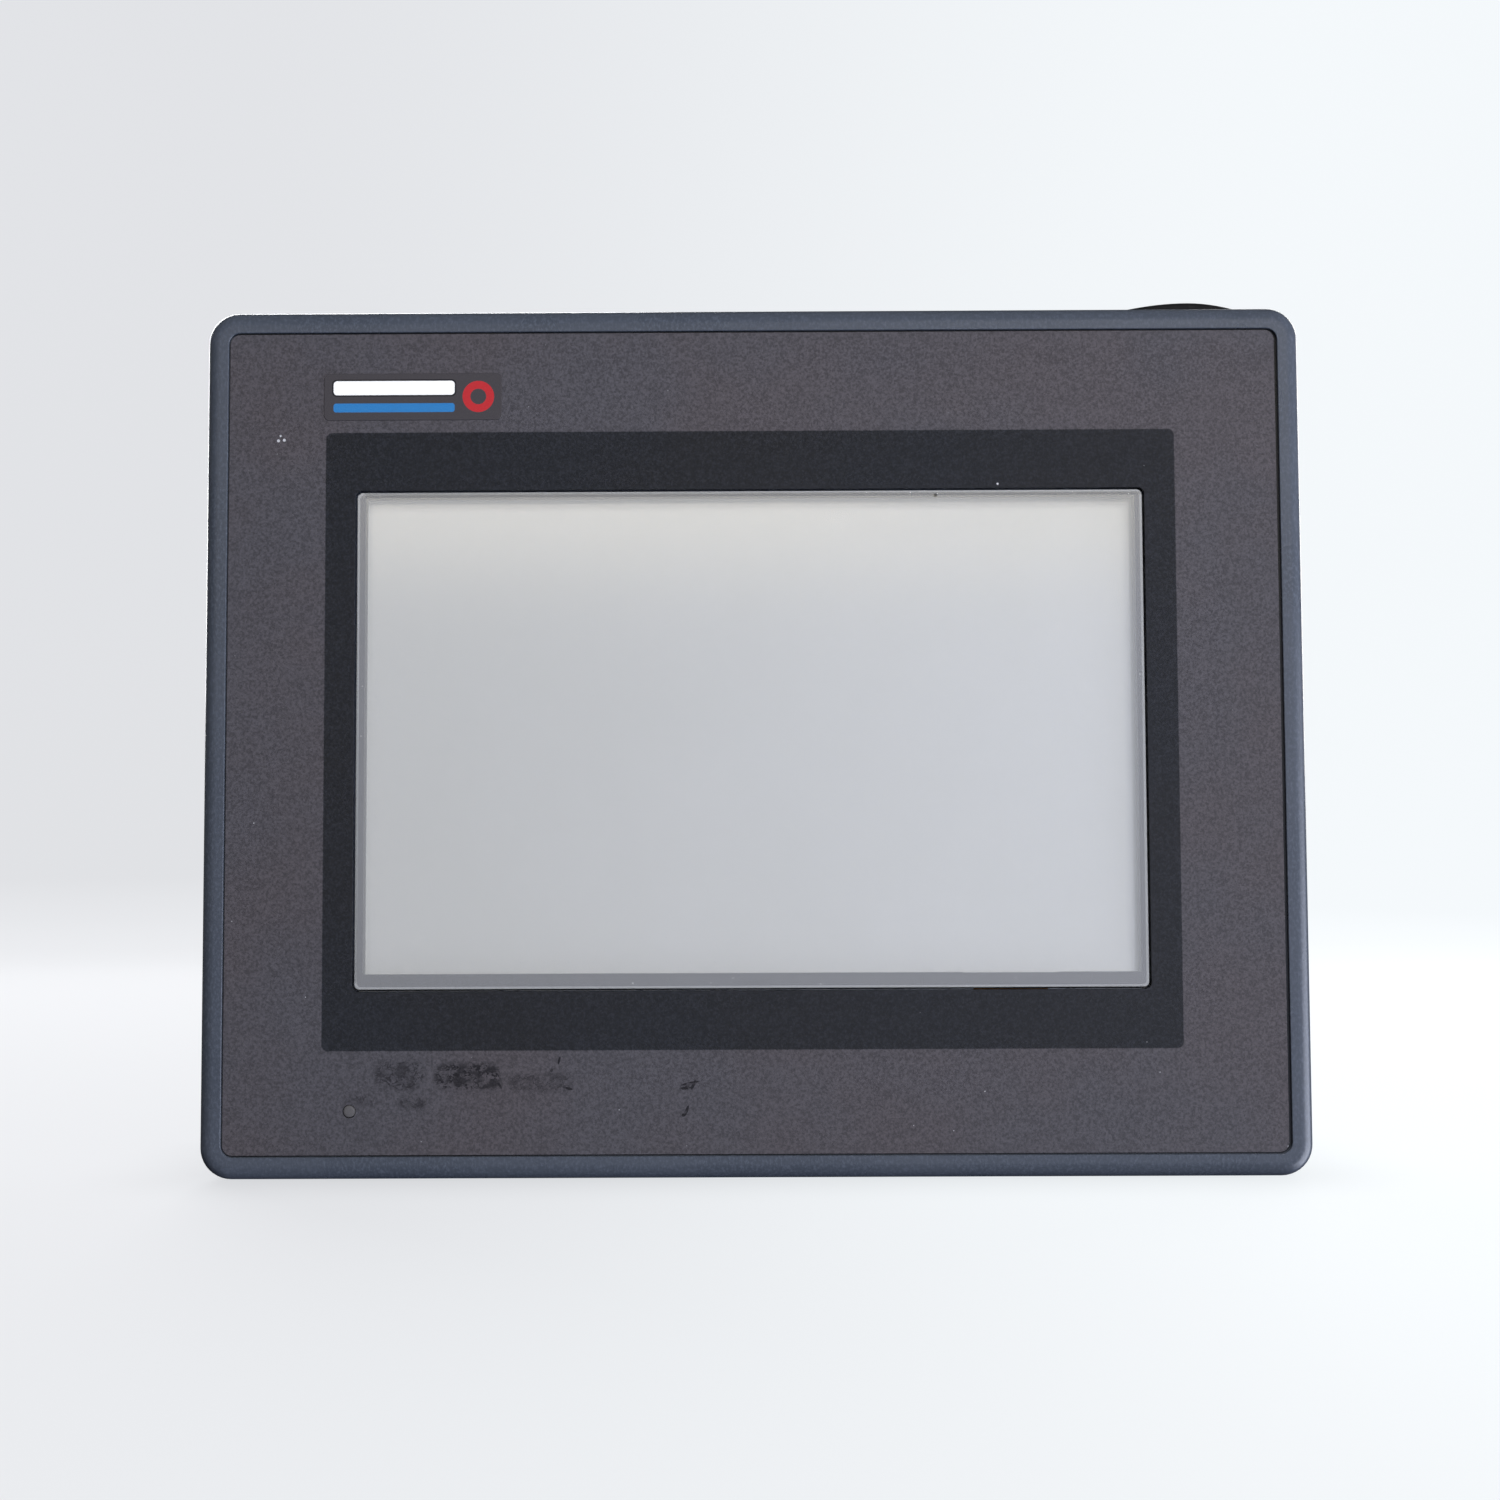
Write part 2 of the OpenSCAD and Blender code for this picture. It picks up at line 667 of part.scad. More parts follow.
module rear_cover() {
    deep = rear_y + flange_ledge;
    color("#3f434b") difference() {
        union() {
            difference() {
                translate([0, -flange_ledge, 0]) mirror([0, 1, 0]) rotate([90, 0, 0])
                    soft_slab(body_w, body_h, deep, 4, 1.8);
                slab(-flange_ledge - 1, deep + 1 - wall)
                    rounded(body_w - 2 * wall, body_h - 2 * wall, 1.5);
            }
            translate([-bay_x - wall, floor_y, -body_h / 2 + 1])
                cube([2 * (bay_x + wall), rear_y - floor_y - 1, bay_top + wall + body_h / 2 - 1]);
            at_each(cover_fixings) rod(rear_y - 4.5, 3, 4);
        }
        // bay, open at the back and at the bottom
        translate([-bay_x, bay_y, -body_h / 2 - 5])
            cube([2 * bay_x, bay_d + 5, bay_top + body_h / 2 + 5]);
        // connector cut-outs
        at(serial_x, port_z) slab(floor_y - 1, 6) rounded(39.6, 9.4, 2);
        for (s = [-1, 1]) at(serial_x + s * jack_spacing / 2, port_z) rod(floor_y - 1, 6, 1.7);
        at(printer_x, port_z) slab(floor_y - 1, 6) rounded(27.4, 9.4, 0.6);
        at(tool_x, port_z) rod(floor_y - 1, 6, 7.1);
        at(dip_x, dip_z) slab(floor_y - 1, 6) square([12.4, 10.4], center = true);
        at(reset_x, reset_z) rod(floor_y - 1, 6, 2.1);
        at(terminal_x, port_z) slab(floor_y - 1, 6) square([26, 6], center = true);
        // expansion hatch
        at(expansion_x, expansion_z) {
            slab(rear_y - 1.3, 3) rounded(66.4, 24.4, 1.7);
            slab(rear_y - wall - 1, 5) rounded(52, 16, 1);
        }
        at_each(expansion_fixings) rod(rear_y - wall - 1, 5, m3_core);
        // screws that hold the housing
        at_each(cover_fixings) {
            rod(rear_y - 2.1, 4, m3_head + 0.4);
            rod(rear_y - 6, 6, m3_clear);
        }
        // vents in the back, top and bottom
        for (x = [-44, 44]) at(x, 53) vent_row(13, 5) slab(rear_y - wall - 1, 5) rounded(2.2, 20, 1.05);
        for (s = [-1, 1]) translate([0, 0, s * body_h / 2]) vent_row(21, 5)
            translate([0, 27, 0]) cube([2.2, s > 0 ? 16 : 6, 3 * wall], center = true);
        // slots that the mounting clamps hook into
        for (p = clamp_slots) translate([p[0], clamp_y, p[1] * body_h / 2])
            cube([14, 5, 3 * wall], center = true);
    }
}

module cover_screws() {
    color("#a9acae") {
        at_each(cover_fixings) pan_screw(rear_y - 2.1, 8);
        at_each(expansion_fixings) pan_screw(rear_y - 0.1, 4);
    }
}

module expansion_cover() {
    color("#3a3e45") difference() {
        at(expansion_x, expansion_z) {
            slab(rear_y - 1.3, 1.2) rounded(66, 24, 1.5);
            slab(rear_y - 1.3 - 1, 1.1) rounded(51.2, 15.2, 0.8);
        }
        at_each(expansion_fixings) rod(rear_y - 3, 6, m3_clear);
    }
}

module rating_label() {
    color("#c9cbcc") at(-46, 13) slab(rear_y, 0.15) rounded(58, 34, 1);
}

// ---------------------------------------------------------------- connectors

// Outline of a 25-way D-shaped shell
module d_outline(w, h) {
    lean = h * tan(10) / 2;
    polygon([[-w / 2 - lean / 2, h / 2], [w / 2 + lean / 2, h / 2],
        [w / 2 - lean, -h / 2], [-w / 2 + lean, -h / 2]]);
}

module serial_connector() {
    shell_out = 6;
    color("#c3c5c6") at(serial_x, port_z) {
        difference() {
            union() {
                slab(floor_y - 1, 1) rounded(53, 12.5, 1.5);
                slab(floor_y - eps, shell_out + eps) d_outline(38, 8.2);
            }
            slab(floor_y - 2, 12) d_outline(37, 7.2);
            for (s = [-1, 1]) at(s * jack_spacing / 2, 0) rod(floor_y - 3, 6, 1.7);
        }
        slab(io_y + board_t, floor_y - 1 - io_y - board_t) rounded(40, 10.5, 0.6);
    }
    color("#16181b") at(serial_x, port_z) difference() {
        slab(floor_y - 1, shell_out + 0.6) d_outline(36.9, 7.1);
        for (i = [0 : 12]) at((i - 6) * 2.76, 1.42) slab(bay_y, 8) square(1.1, center = true);
        for (i = [0 : 11]) at((i - 5.5) * 2.76, -1.42) slab(bay_y, 8) square(1.1, center = true);
    }
}

// Hexagonal posts, tapped for the plug's locking screws
module serial_jackscrews() {
    color("#c8cacb") for (s = [-1, 1]) at(serial_x + s * jack_spacing / 2, port_z) {
        difference() {
            hex_bar(bay_y, 5, 4.76);
            rod(bay_y + 0.4, 6, 1.42);
        }
        rod(floor_y - 3, bay_y - floor_y + 3, 1.5);
    }
}

// Round 8-way socket for the programming cable
module tool_connector() {
    base = io_y + board_t;
    color("#17191b") at(tool_x, port_z) {
        slab(base, floor_y - base) rounded(14.4, 13.4, 0.8);
        difference() {
            rod(floor_y - eps, wall + 2, 6.8);
            difference() {
                rod(floor_y + 0.4, 10, 4.7);
                rod(floor_y, 10, 3.7);
            }
            for (a = [0 : 45 : 315]) rotate([0, a, 0]) at(2.3, 0)
                slab(floor_y + 0.4, 10) square(0.9, center = true);
            translate([0, floor_y + 5, 0]) cube([2, 6, 0.9], center = true);
        }
    }
}

// Shrouded 20-way header
module printer_connector() {
    base = io_y + board_t;
    color("#1a1c1f") at(printer_x, port_z) difference() {
        slab(base, bay_y + 3 - base) rounded(26.6, 8.6, 0.5);
        slab(floor_y, 12) square([24.2, 6.2], center = true);
        translate([0, bay_y + 2, 4]) cube([4.4, 6, 3], center = true);
    }
    color("#d9b45a") at(printer_x, port_z) for (i = [0 : 9], s = [-1, 1])
        translate([(i - 4.5) * 2.2, floor_y + 2.2, 1.27 * s]) cube([0.6, 4.4, 0.6], center = true);
}

// ---------------------------------------------------------------- power terminals

block_w = 31;
block_top = -45.5;
block_low = -65;
pole_y = bay_y + 4.7;
plate_thick = 0.8;
washer_y = pole_y + plate_thick;
washer_t = 0.8;
screw_head = 2;
flap_y = washer_y + washer_t + screw_head + screw_travel + 1;
hinge_y = flap_y - 0.6;
hinge_z = -43.2;
pivot_r = 1;
poles = [for (i = [-1 : 1]) terminal_x + pole_pitch * i];

module terminal_block() {
    barrier = 1.2;
    ear_w = 1.6;
    color("#1c1e20") difference() {
        union() {
            translate([terminal_x - block_w / 2, bay_y, block_low])
                cube([block_w, pole_y - bay_y, block_top - block_low]);
            for (x = [-1.5, -0.5, 0.5, 1.5] * pole_pitch)
                translate([terminal_x + x - barrier / 2, bay_y, block_low])
                    cube([barrier, 9, block_top - block_low]);
            translate([terminal_x - 1.5 * pole_pitch, bay_y, block_top - 1.5])
                cube([3 * pole_pitch, 9, 1.5]);
            for (s = [-1, 1]) hinge_ear(s, ear_w);
            at(terminal_x, port_z) slab(floor_y - 2, wall + 2 + eps) square([25.4, 5.4], center = true);
        }
        for (x = poles) at(x, port_z) rod(floor_y + 1, 20, m3 + running_gap);
        for (s = [-1, 1]) translate([terminal_x + s * (block_w / 2 - ear_w / 2), hinge_y, hinge_z])
            rotate([0, 90, 0]) cylinder(h = ear_w + 1, r = pivot_r + running_gap, center = true);
    }
}

// Upright with a round head that carries the cover's pivot
module hinge_ear(s, ear_w) {
    translate([terminal_x + s * (block_w / 2 - ear_w / 2), 0, 0]) {
        translate([-ear_w / 2, bay_y, hinge_z - 2.1])
            cube([ear_w, hinge_y - bay_y, 4.2]);
        translate([-ear_w / 2, bay_y, block_top - 3]) cube([ear_w, 8, 4]);
        translate([0, hinge_y, hinge_z]) rotate([0, 90, 0])
            cylinder(h = ear_w, r = 2.1, center = true);
    }
}

module terminal_contacts() {
    color("#c9a552") for (x = poles) difference() {
        at(x, port_z - 0.6) slab(pole_y, plate_thick) square([7.6, 15], center = true);
        at(x, port_z) rod(pole_y - 1, 3, m3 + running_gap);
    }
}

// Square washer that rises with its screw
module terminal_washer(i) {
    color("#bfc2c4") difference() {
        at(poles[i], port_z) slab(washer_y, washer_t) rounded(7, 7, 0.8);
        at(poles[i], port_z) rod(washer_y - 1, 3, m3 + running_gap);
    }
}

module terminal_screw(i) {
    head_y = washer_y + washer_t;
    color("#d0d2d3") at(poles[i], port_z) difference() {
        union() {
            rod(floor_y + 2, head_y - floor_y - 2 + 0.5, m3);
            rod(head_y, screw_head, 3);
        }
        cross_recess(head_y + screw_head / 2, 3);
    }
}

module terminal_washer_1() { terminal_washer(0); }
module terminal_washer_2() { terminal_washer(1); }
module terminal_washer_3() { terminal_washer(2); }
module terminal_screw_1() { terminal_screw(0); }
module terminal_screw_2() { terminal_screw(1); }
module terminal_screw_3() { terminal_screw(2); }

// Clear flap over the screws, hinged along its upper edge
module terminal_cover() {
    ear_gap = 0.4;
    arm_x = block_w / 2 - 1.6 - ear_gap;
    arm_w = 1.4;
    color("#9fb0b8", 0.5) {
        translate([terminal_x - arm_x, flap_y, block_low - 1.5])
            cube([2 * arm_x, 1.2, hinge_z - block_low + 1.5]);
        translate([terminal_x - arm_x, flap_y - 2.2, block_low - 1.5]) cube([2 * arm_x, 2.3, 0.9]);
        for (s = [-1, 1]) translate([terminal_x + s * (arm_x - arm_w / 2), hinge_y, hinge_z])
            rotate([0, 90, 0]) cylinder(h = arm_w, r = 1.8, center = true);
        for (s = [-1, 1]) translate([terminal_x + s * (arm_x + 0.9 - 0.25), hinge_y, hinge_z])
            rotate([0, 90, 0]) cylinder(h = 2.3, r = pivot_r, center = true);
    }
}

// ---------------------------------------------------------------- small controls

// Plunger of the reset switch, held in by a collar under the bay floor
module reset_button() {
    color("#b9b4a6") at(reset_x, reset_z) {
        rod(io_y + board_t + 4.5, bay_y + 1.2 - io_y - board_t - 4.5, 1.75);
        rod(io_y + board_t + 4.5, 1, 2.8);
    }
}

dip_pitch = 2.54;
slider_travel = 2.2;
module dip_switch_body() {
    base = io_y + board_t;
    color("#a33b34") at(dip_x, dip_z) difference() {
        slab(base, bay_y + 1.2 - base) rounded(11.6, 9.6, 0.4);
        for (i = [0 : 3]) at((i - 1.5) * dip_pitch, 0)
            slab(bay_y - 0.8, 4) square([1.7, 4.2], center = true);
    }
}

// One actuator, at the lower end of its slot
module dip_slider(i) {
    rise = 2.7;
    color("#ecebe4")
        translate([dip_x + (i - 1.5) * dip_pitch, bay_y - 0.7 + rise / 2, dip_z - slider_travel / 2])
            cube([1.3, rise, 1.5], center = true);
}

module dip_slider_1() { dip_slider(0); }
module dip_slider_2() { dip_slider(1); }
module dip_slider_3() { dip_slider(2); }
module dip_slider_4() { dip_slider(3); }

// ---------------------------------------------------------------- output

front_bezel();
front_overlay();
name_badge();
status_led_lens();
panel_gasket();
touch_film();
touch_spacer_tape();
touch_glass();
touch_seal();
touch_tail();
lcd_frame();
lcd_glass();
lcd_holder();
light_guide();
backlight_tube();
lamp_leads();
lcd_back_plate();
lcd_driver_board();
lcd_pads();
chassis_plate();
cover_posts();
board_standoffs();
board_screws();
main_board();
main_board_chips();
expansion_socket();
display_ribbon();
battery_holder();
coin_battery();
buzzer();
inverter_board();
power_board();
transformer();
filter_capacitors();
power_leads();
io_board();
rear_cover();
cover_screws();
expansion_cover();
rating_label();
serial_connector();
serial_jackscrews();
tool_connector();
printer_connector();
terminal_block();
terminal_contacts();
terminal_cover();
terminal_washer_1();
terminal_washer_2();
terminal_washer_3();
terminal_screw_1();
terminal_screw_2();
terminal_screw_3();
reset_button();
dip_switch_body();
dip_slider_1();
dip_slider_2();
dip_slider_3();
dip_slider_4();
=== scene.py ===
"""Looks of a panel-mounted operator terminal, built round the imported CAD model.

Frame: the display faces -Y, +X is to the right seen from the front, +Z is up.
"""
import json
import math

import bmesh
import bpy
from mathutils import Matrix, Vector


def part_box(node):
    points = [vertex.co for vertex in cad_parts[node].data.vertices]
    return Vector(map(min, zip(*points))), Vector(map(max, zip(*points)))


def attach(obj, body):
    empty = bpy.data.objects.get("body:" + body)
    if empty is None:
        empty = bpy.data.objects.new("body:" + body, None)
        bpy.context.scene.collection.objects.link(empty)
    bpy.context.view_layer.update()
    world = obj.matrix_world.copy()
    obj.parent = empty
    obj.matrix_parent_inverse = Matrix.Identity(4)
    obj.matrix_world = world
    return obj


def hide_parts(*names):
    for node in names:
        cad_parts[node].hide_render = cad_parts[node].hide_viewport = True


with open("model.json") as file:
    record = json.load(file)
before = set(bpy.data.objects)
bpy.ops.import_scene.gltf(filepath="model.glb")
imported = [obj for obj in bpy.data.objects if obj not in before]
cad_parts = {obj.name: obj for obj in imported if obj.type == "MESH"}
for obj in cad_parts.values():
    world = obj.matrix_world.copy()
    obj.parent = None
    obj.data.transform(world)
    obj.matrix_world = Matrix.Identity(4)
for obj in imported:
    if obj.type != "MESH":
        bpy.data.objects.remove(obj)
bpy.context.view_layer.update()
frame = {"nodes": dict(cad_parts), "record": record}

MM = 0.001
ROOT = "panel_unit"
scene = bpy.context.scene


# ---------------------------------------------------------------- sizes, in millimetres

def box_mm(node):
    """Lowest corner, highest corner, centre and size of a CAD node."""
    lo, hi = (Vector(c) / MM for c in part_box(node))
    return lo, hi, (lo + hi) / 2, hi - lo


BEZEL_LO, _, _, BEZEL = box_mm("front_bezel")
BEZEL_R = 5.9
EDGE_R = 2.8
RIM_W = 4.3
RIM_R = 2.2
FRONT_Y = BEZEL_LO.y
OVERLAY_LO, OVERLAY_HI, OVERLAY_MID, OVERLAY = box_mm("front_overlay")
OVERLAY_R = 1.85
_, _, FILM_MID, FILM = box_mm("touch_film")
WINDOW_W = FILM.x + 0.8
WINDOW_H = FILM.z + 0.8
COVER_LO, COVER_HI, _, COVER = box_mm("rear_cover")
WALL = 2.5
LIP_W, GROOVE_W, GROOVE_DEPTH = 2.8, 3.4, 2.2
PLATE_Y = OVERLAY_HI.y + 2.3
LENS_LO, LENS_HI, _, _ = box_mm("status_led_lens")
LED_R = 1.15
LED_X = (LENS_LO.x + LENS_HI.x) / 2
LED_Z = LENS_LO.z + LED_R
BADGE_MID = box_mm("name_badge")[2]
VIEW_W, VIEW_H, VIEW_X, VIEW_Z = 145.6, 90.0, -0.6, 1.0
BORDER_W, BORDER_H, BORDER_X, BORDER_Z = 160.75, 116.6, -0.6, 0.15


# ---------------------------------------------------------------- materials

def srgb(red, green, blue):
    """Linear colour of a screen colour given as 0 to 255."""
    def linear(c):
        c /= 255
        return c / 12.92 if c <= 0.04045 else ((c + 0.055) / 1.055) ** 2.4
    return (linear(red), linear(green), linear(blue), 1.0)


class Paint:
    """One procedural material. Lengths are millimetres in the object's own frame."""

    def __init__(self, name, **shader):
        self.material = bpy.data.materials.new(name)
        self.material.use_nodes = True
        self.tree = self.material.node_tree
        self.tree.nodes.clear()
        self.shader = self.add("ShaderNodeBsdfPrincipled", **shader)
        out = self.add("ShaderNodeOutputMaterial")
        self.link(self.shader.outputs["BSDF"], out.inputs["Surface"])
        where = self.add("ShaderNodeTexCoord").outputs["Object"]
        scaled = self.add("ShaderNodeVectorMath", operation="SCALE", Vector=where, Scale=1 / MM)
        self.place = scaled.outputs[0]
        self.xyz = self.add("ShaderNodeSeparateXYZ", Vector=self.place).outputs

    def link(self, output, socket):
        self.tree.links.new(output, socket)

    def add(self, kind, **values):
        """A node with its properties and sockets set; a socket takes a value or another output."""
        node = self.tree.nodes.new(kind)
        for key, value in values.items():
            if key in node.bl_rna.properties and key not in node.inputs:
                setattr(node, key, value)
                continue
            socket = node.inputs[int(key[1:])] if key[0] == "i" and key[1:].isdigit() \
                else node.inputs[key.replace("_", " ")]
            if isinstance(value, bpy.types.NodeSocket):
                self.link(value, socket)
            else:
                socket.default_value = value
        return node

    def math(self, operation, a, b=0.0):
        return self.add("ShaderNodeMath", operation=operation, i0=a, i1=b).outputs[0]

    def noise(self, size, detail=2.0, roughness=0.5, stretch=(1, 1, 1), shift=0.0, warp=0.0):
        """Noise from 0 to 1 whose lumps are about size mm across."""
        where = self.add("ShaderNodeVectorMath", operation="MULTIPLY_ADD", i0=self.place,
                         i1=[1 / (size * s) for s in stretch], i2=(shift, shift, shift)).outputs[0]
        return self.add("ShaderNodeTexNoise", Vector=where, Scale=1.0, Detail=detail,
                        Roughness=roughness, Distortion=warp).outputs["Fac"]

    def cells(self, size, feature="F1", randomness=1.0, stretch=(1, 1, 1)):
        """Distance to the nearest of scattered points about size mm apart."""
        where = self.add("ShaderNodeVectorMath", operation="MULTIPLY", i0=self.place,
                         i1=[1 / (size * s) for s in stretch]).outputs[0]
        return self.add("ShaderNodeTexVoronoi", feature=feature, Vector=where, Scale=1.0,
                        Randomness=randomness).outputs[0]

    def step(self, value, low, high, to_low=0.0, to_high=1.0):
        """Smooth change from to_low to to_high as value goes from low to high."""
        return self.add("ShaderNodeMapRange", interpolation_type="SMOOTHSTEP", i0=value, i1=low,
                        i2=high, i3=to_low, i4=to_high).outputs[0]

    def mix(self, amount, a, b, blend="MIX"):
        node = self.add("ShaderNodeMix", data_type="RGBA", blend_type=blend)
        for socket, value in zip((node.inputs[0], node.inputs[6], node.inputs[7]), (amount, a, b)):
            if isinstance(value, bpy.types.NodeSocket):
                self.link(value, socket)
            else:
                socket.default_value = value
        return node.outputs[2]

    def rectangle(self, x, z, w, h, r, soft, second=2):
        """1 inside a rounded rectangle in the plane of X and a second axis, 0 outside."""
        reach = []
        for axis, middle, length in ((0, x, w), (second, z, h)):
            away = self.math("ABSOLUTE", self.math("SUBTRACT", self.xyz[axis], middle))
            reach.append(self.math("SUBTRACT", away, length / 2 - r))
        outer = [self.math("MAXIMUM", q, 0.0) for q in reach]
        squares = [self.math("MULTIPLY", q, q) for q in outer]
        corner = self.math("SQRT", self.math("ADD", *squares))
        inner = self.math("MINIMUM", self.math("MAXIMUM", *reach), 0.0)
        distance = self.math("SUBTRACT", self.math("ADD", corner, inner), r)
        return self.step(distance, -soft, soft, 1.0, 0.0)

    def disc(self, x, z, r, soft):
        return self.rectangle(x, z, 2 * r, 2 * r, r, soft)

    def stroke(self, x, z, length, width, angle):
        """1 along a short straight stroke that fades out at both ends."""
        a = math.radians(angle)
        across = self.math("SUBTRACT", self.xyz[0], x)
        up = self.math("SUBTRACT", self.xyz[2], z)
        along = self.math("ADD", self.math("MULTIPLY", across, math.cos(a)),
                          self.math("MULTIPLY", up, math.sin(a)))
        off = self.math("SUBTRACT", self.math("MULTIPLY", up, math.cos(a)),
                        self.math("MULTIPLY", across, math.sin(a)))
        along = self.math("DIVIDE", along, length / 2)
        off = self.math("DIVIDE", off, width * 0.8)
        far = self.math("ADD", self.math("MULTIPLY", along, along), self.math("MULTIPLY", off, off))
        return self.step(far, 0.5, 1.1, 1.0, 0.0)

    def bump(self, height, depth):
        """Raises the surface by height (0 to 1) times depth mm."""
        return self.add("ShaderNodeBump", Strength=1.0, Distance=depth * MM, Height=height).outputs[0]

    def finish(self, colour=None, roughness=None, normal=None):
        for key, value in (("Base Color", colour), ("Roughness", roughness), ("Normal", normal)):
            if value is not None:
                self.link(value, self.shader.inputs[key])
        return self.material


def moulded(name, colour, roughness=0.45, grain=0.35, depth=0.012, tone=0.10, specular=0.5):
    """Moulded plastic: spark-eroded grain, faint cloudiness and a few lighter scuffs."""
    p = Paint(name, Specular_IOR_Level=specular)
    cloud = p.noise(26, detail=3)
    grains = p.noise(grain, detail=3, roughness=0.6)
    light = [min(1.0, c * (1 + tone)) for c in colour[:3]] + [1.0]
    dark = [c * (1 - tone) for c in colour[:3]] + [1.0]
    base = p.mix(p.step(cloud, 0.3, 0.7), dark, light)
    base = p.mix(p.math("MULTIPLY", p.step(grains, 0.35, 0.75), 0.35), base, light)
    scuffs = p.step(p.noise(5, detail=6, roughness=0.7, stretch=(3, 1, 0.4), warp=0.4), 0.66, 0.74)
    pale = [min(1.0, 1.35 * c + 0.01) for c in colour[:3]] + [1.0]
    base = p.mix(p.math("MULTIPLY", scuffs, 0.25), base, pale)
    rough = p.math("ADD", p.step(cloud, 0.3, 0.7, roughness - 0.05, roughness + 0.05),
                   p.math("MULTIPLY", scuffs, 0.08))
    return p.finish(base, rough, p.bump(grains, depth))


def metal(name, colour, roughness=0.3, brushed=(1, 1, 1), tone=0.12, depth=0.001):
    """Plated or turned metal with fine lines, cloudy tarnish and small stains."""
    p = Paint(name, Metallic=1.0)
    lines = p.noise(0.25, detail=3, stretch=brushed)
    stains = p.step(p.noise(2.2, detail=4, roughness=0.65), 0.45, 0.75)
    dark = [c * (1 - 2.2 * tone) for c in colour[:3]] + [1.0]
    base = p.mix(p.math("MULTIPLY", stains, 0.7), colour, dark)
    base = p.mix(p.math("MULTIPLY", lines, tone), base, (1, 1, 1, 1))
    rough = p.math("ADD", p.step(stains, 0, 1, roughness - 0.04, roughness + 0.12),
                   p.math("MULTIPLY", lines, 0.08))
    return p.finish(base, rough, p.bump(lines, depth))


def clear(name, colour, alpha, roughness=0.08, specular=0.5):
    """Clear sheet: thin haze, and finger marks that show as duller patches."""
    p = Paint(name, Alpha=alpha, Specular_IOR_Level=specular, IOR=1.5)
    marks = p.step(p.noise(14, detail=5, roughness=0.6, warp=0.6), 0.5, 0.75)
    haze = [min(1.0, c * 1.06) for c in colour[:3]] + [1.0]
    base = p.mix(marks, colour, haze)
    return p.finish(base, p.step(marks, 0, 1, roughness, roughness + 0.06))


# Black residue on the overlay: x, z, width, height and strength of each patch
RESIDUE = ((-66.4, -62.6, 9.6, 5.8, 0.75), (-53.6, -62.9, 12.6, 5.0, 1.0),
           (-40.0, -64.1, 12.0, 3.2, 0.6), (-73.5, -67.2, 5.4, 1.8, 0.6),
           (-63.9, -67.7, 5.2, 2.2, 0.8))
# Short strokes of it: x, z, length, width and angle
STROKES = ((-12.2, -64.3, 4.0, 0.35, 12), (-11.6, -64.6, 2.2, 0.4, 65), (-13.0, -65.2, 2.6, 0.4, 4),
           (-12.6, -64.7, 1.8, 0.3, 35), (-12.9, -69.4, 2.4, 0.4, 68), (-13.4, -70.1, 1.0, 0.5, 40),
           (-49.6, -61.6, 2.4, 0.35, 130), (-47.9, -64.2, 2.6, 0.35, 120), (-36.6, -60.0, 1.6, 0.3, 75),
           (-38.0, -61.8, 0.7, 0.4, 30), (-34.8, -65.2, 1.6, 0.35, 165))
# Pale nicks in the overlay: x, z and radius
NICKS = ((-90.0, 57.0, 0.28), (-88.9, 57.1, 0.28), (-89.6, 57.9, 0.2), (46.3, 48.1, 0.2),
         (99.0, -76.4, 0.25))


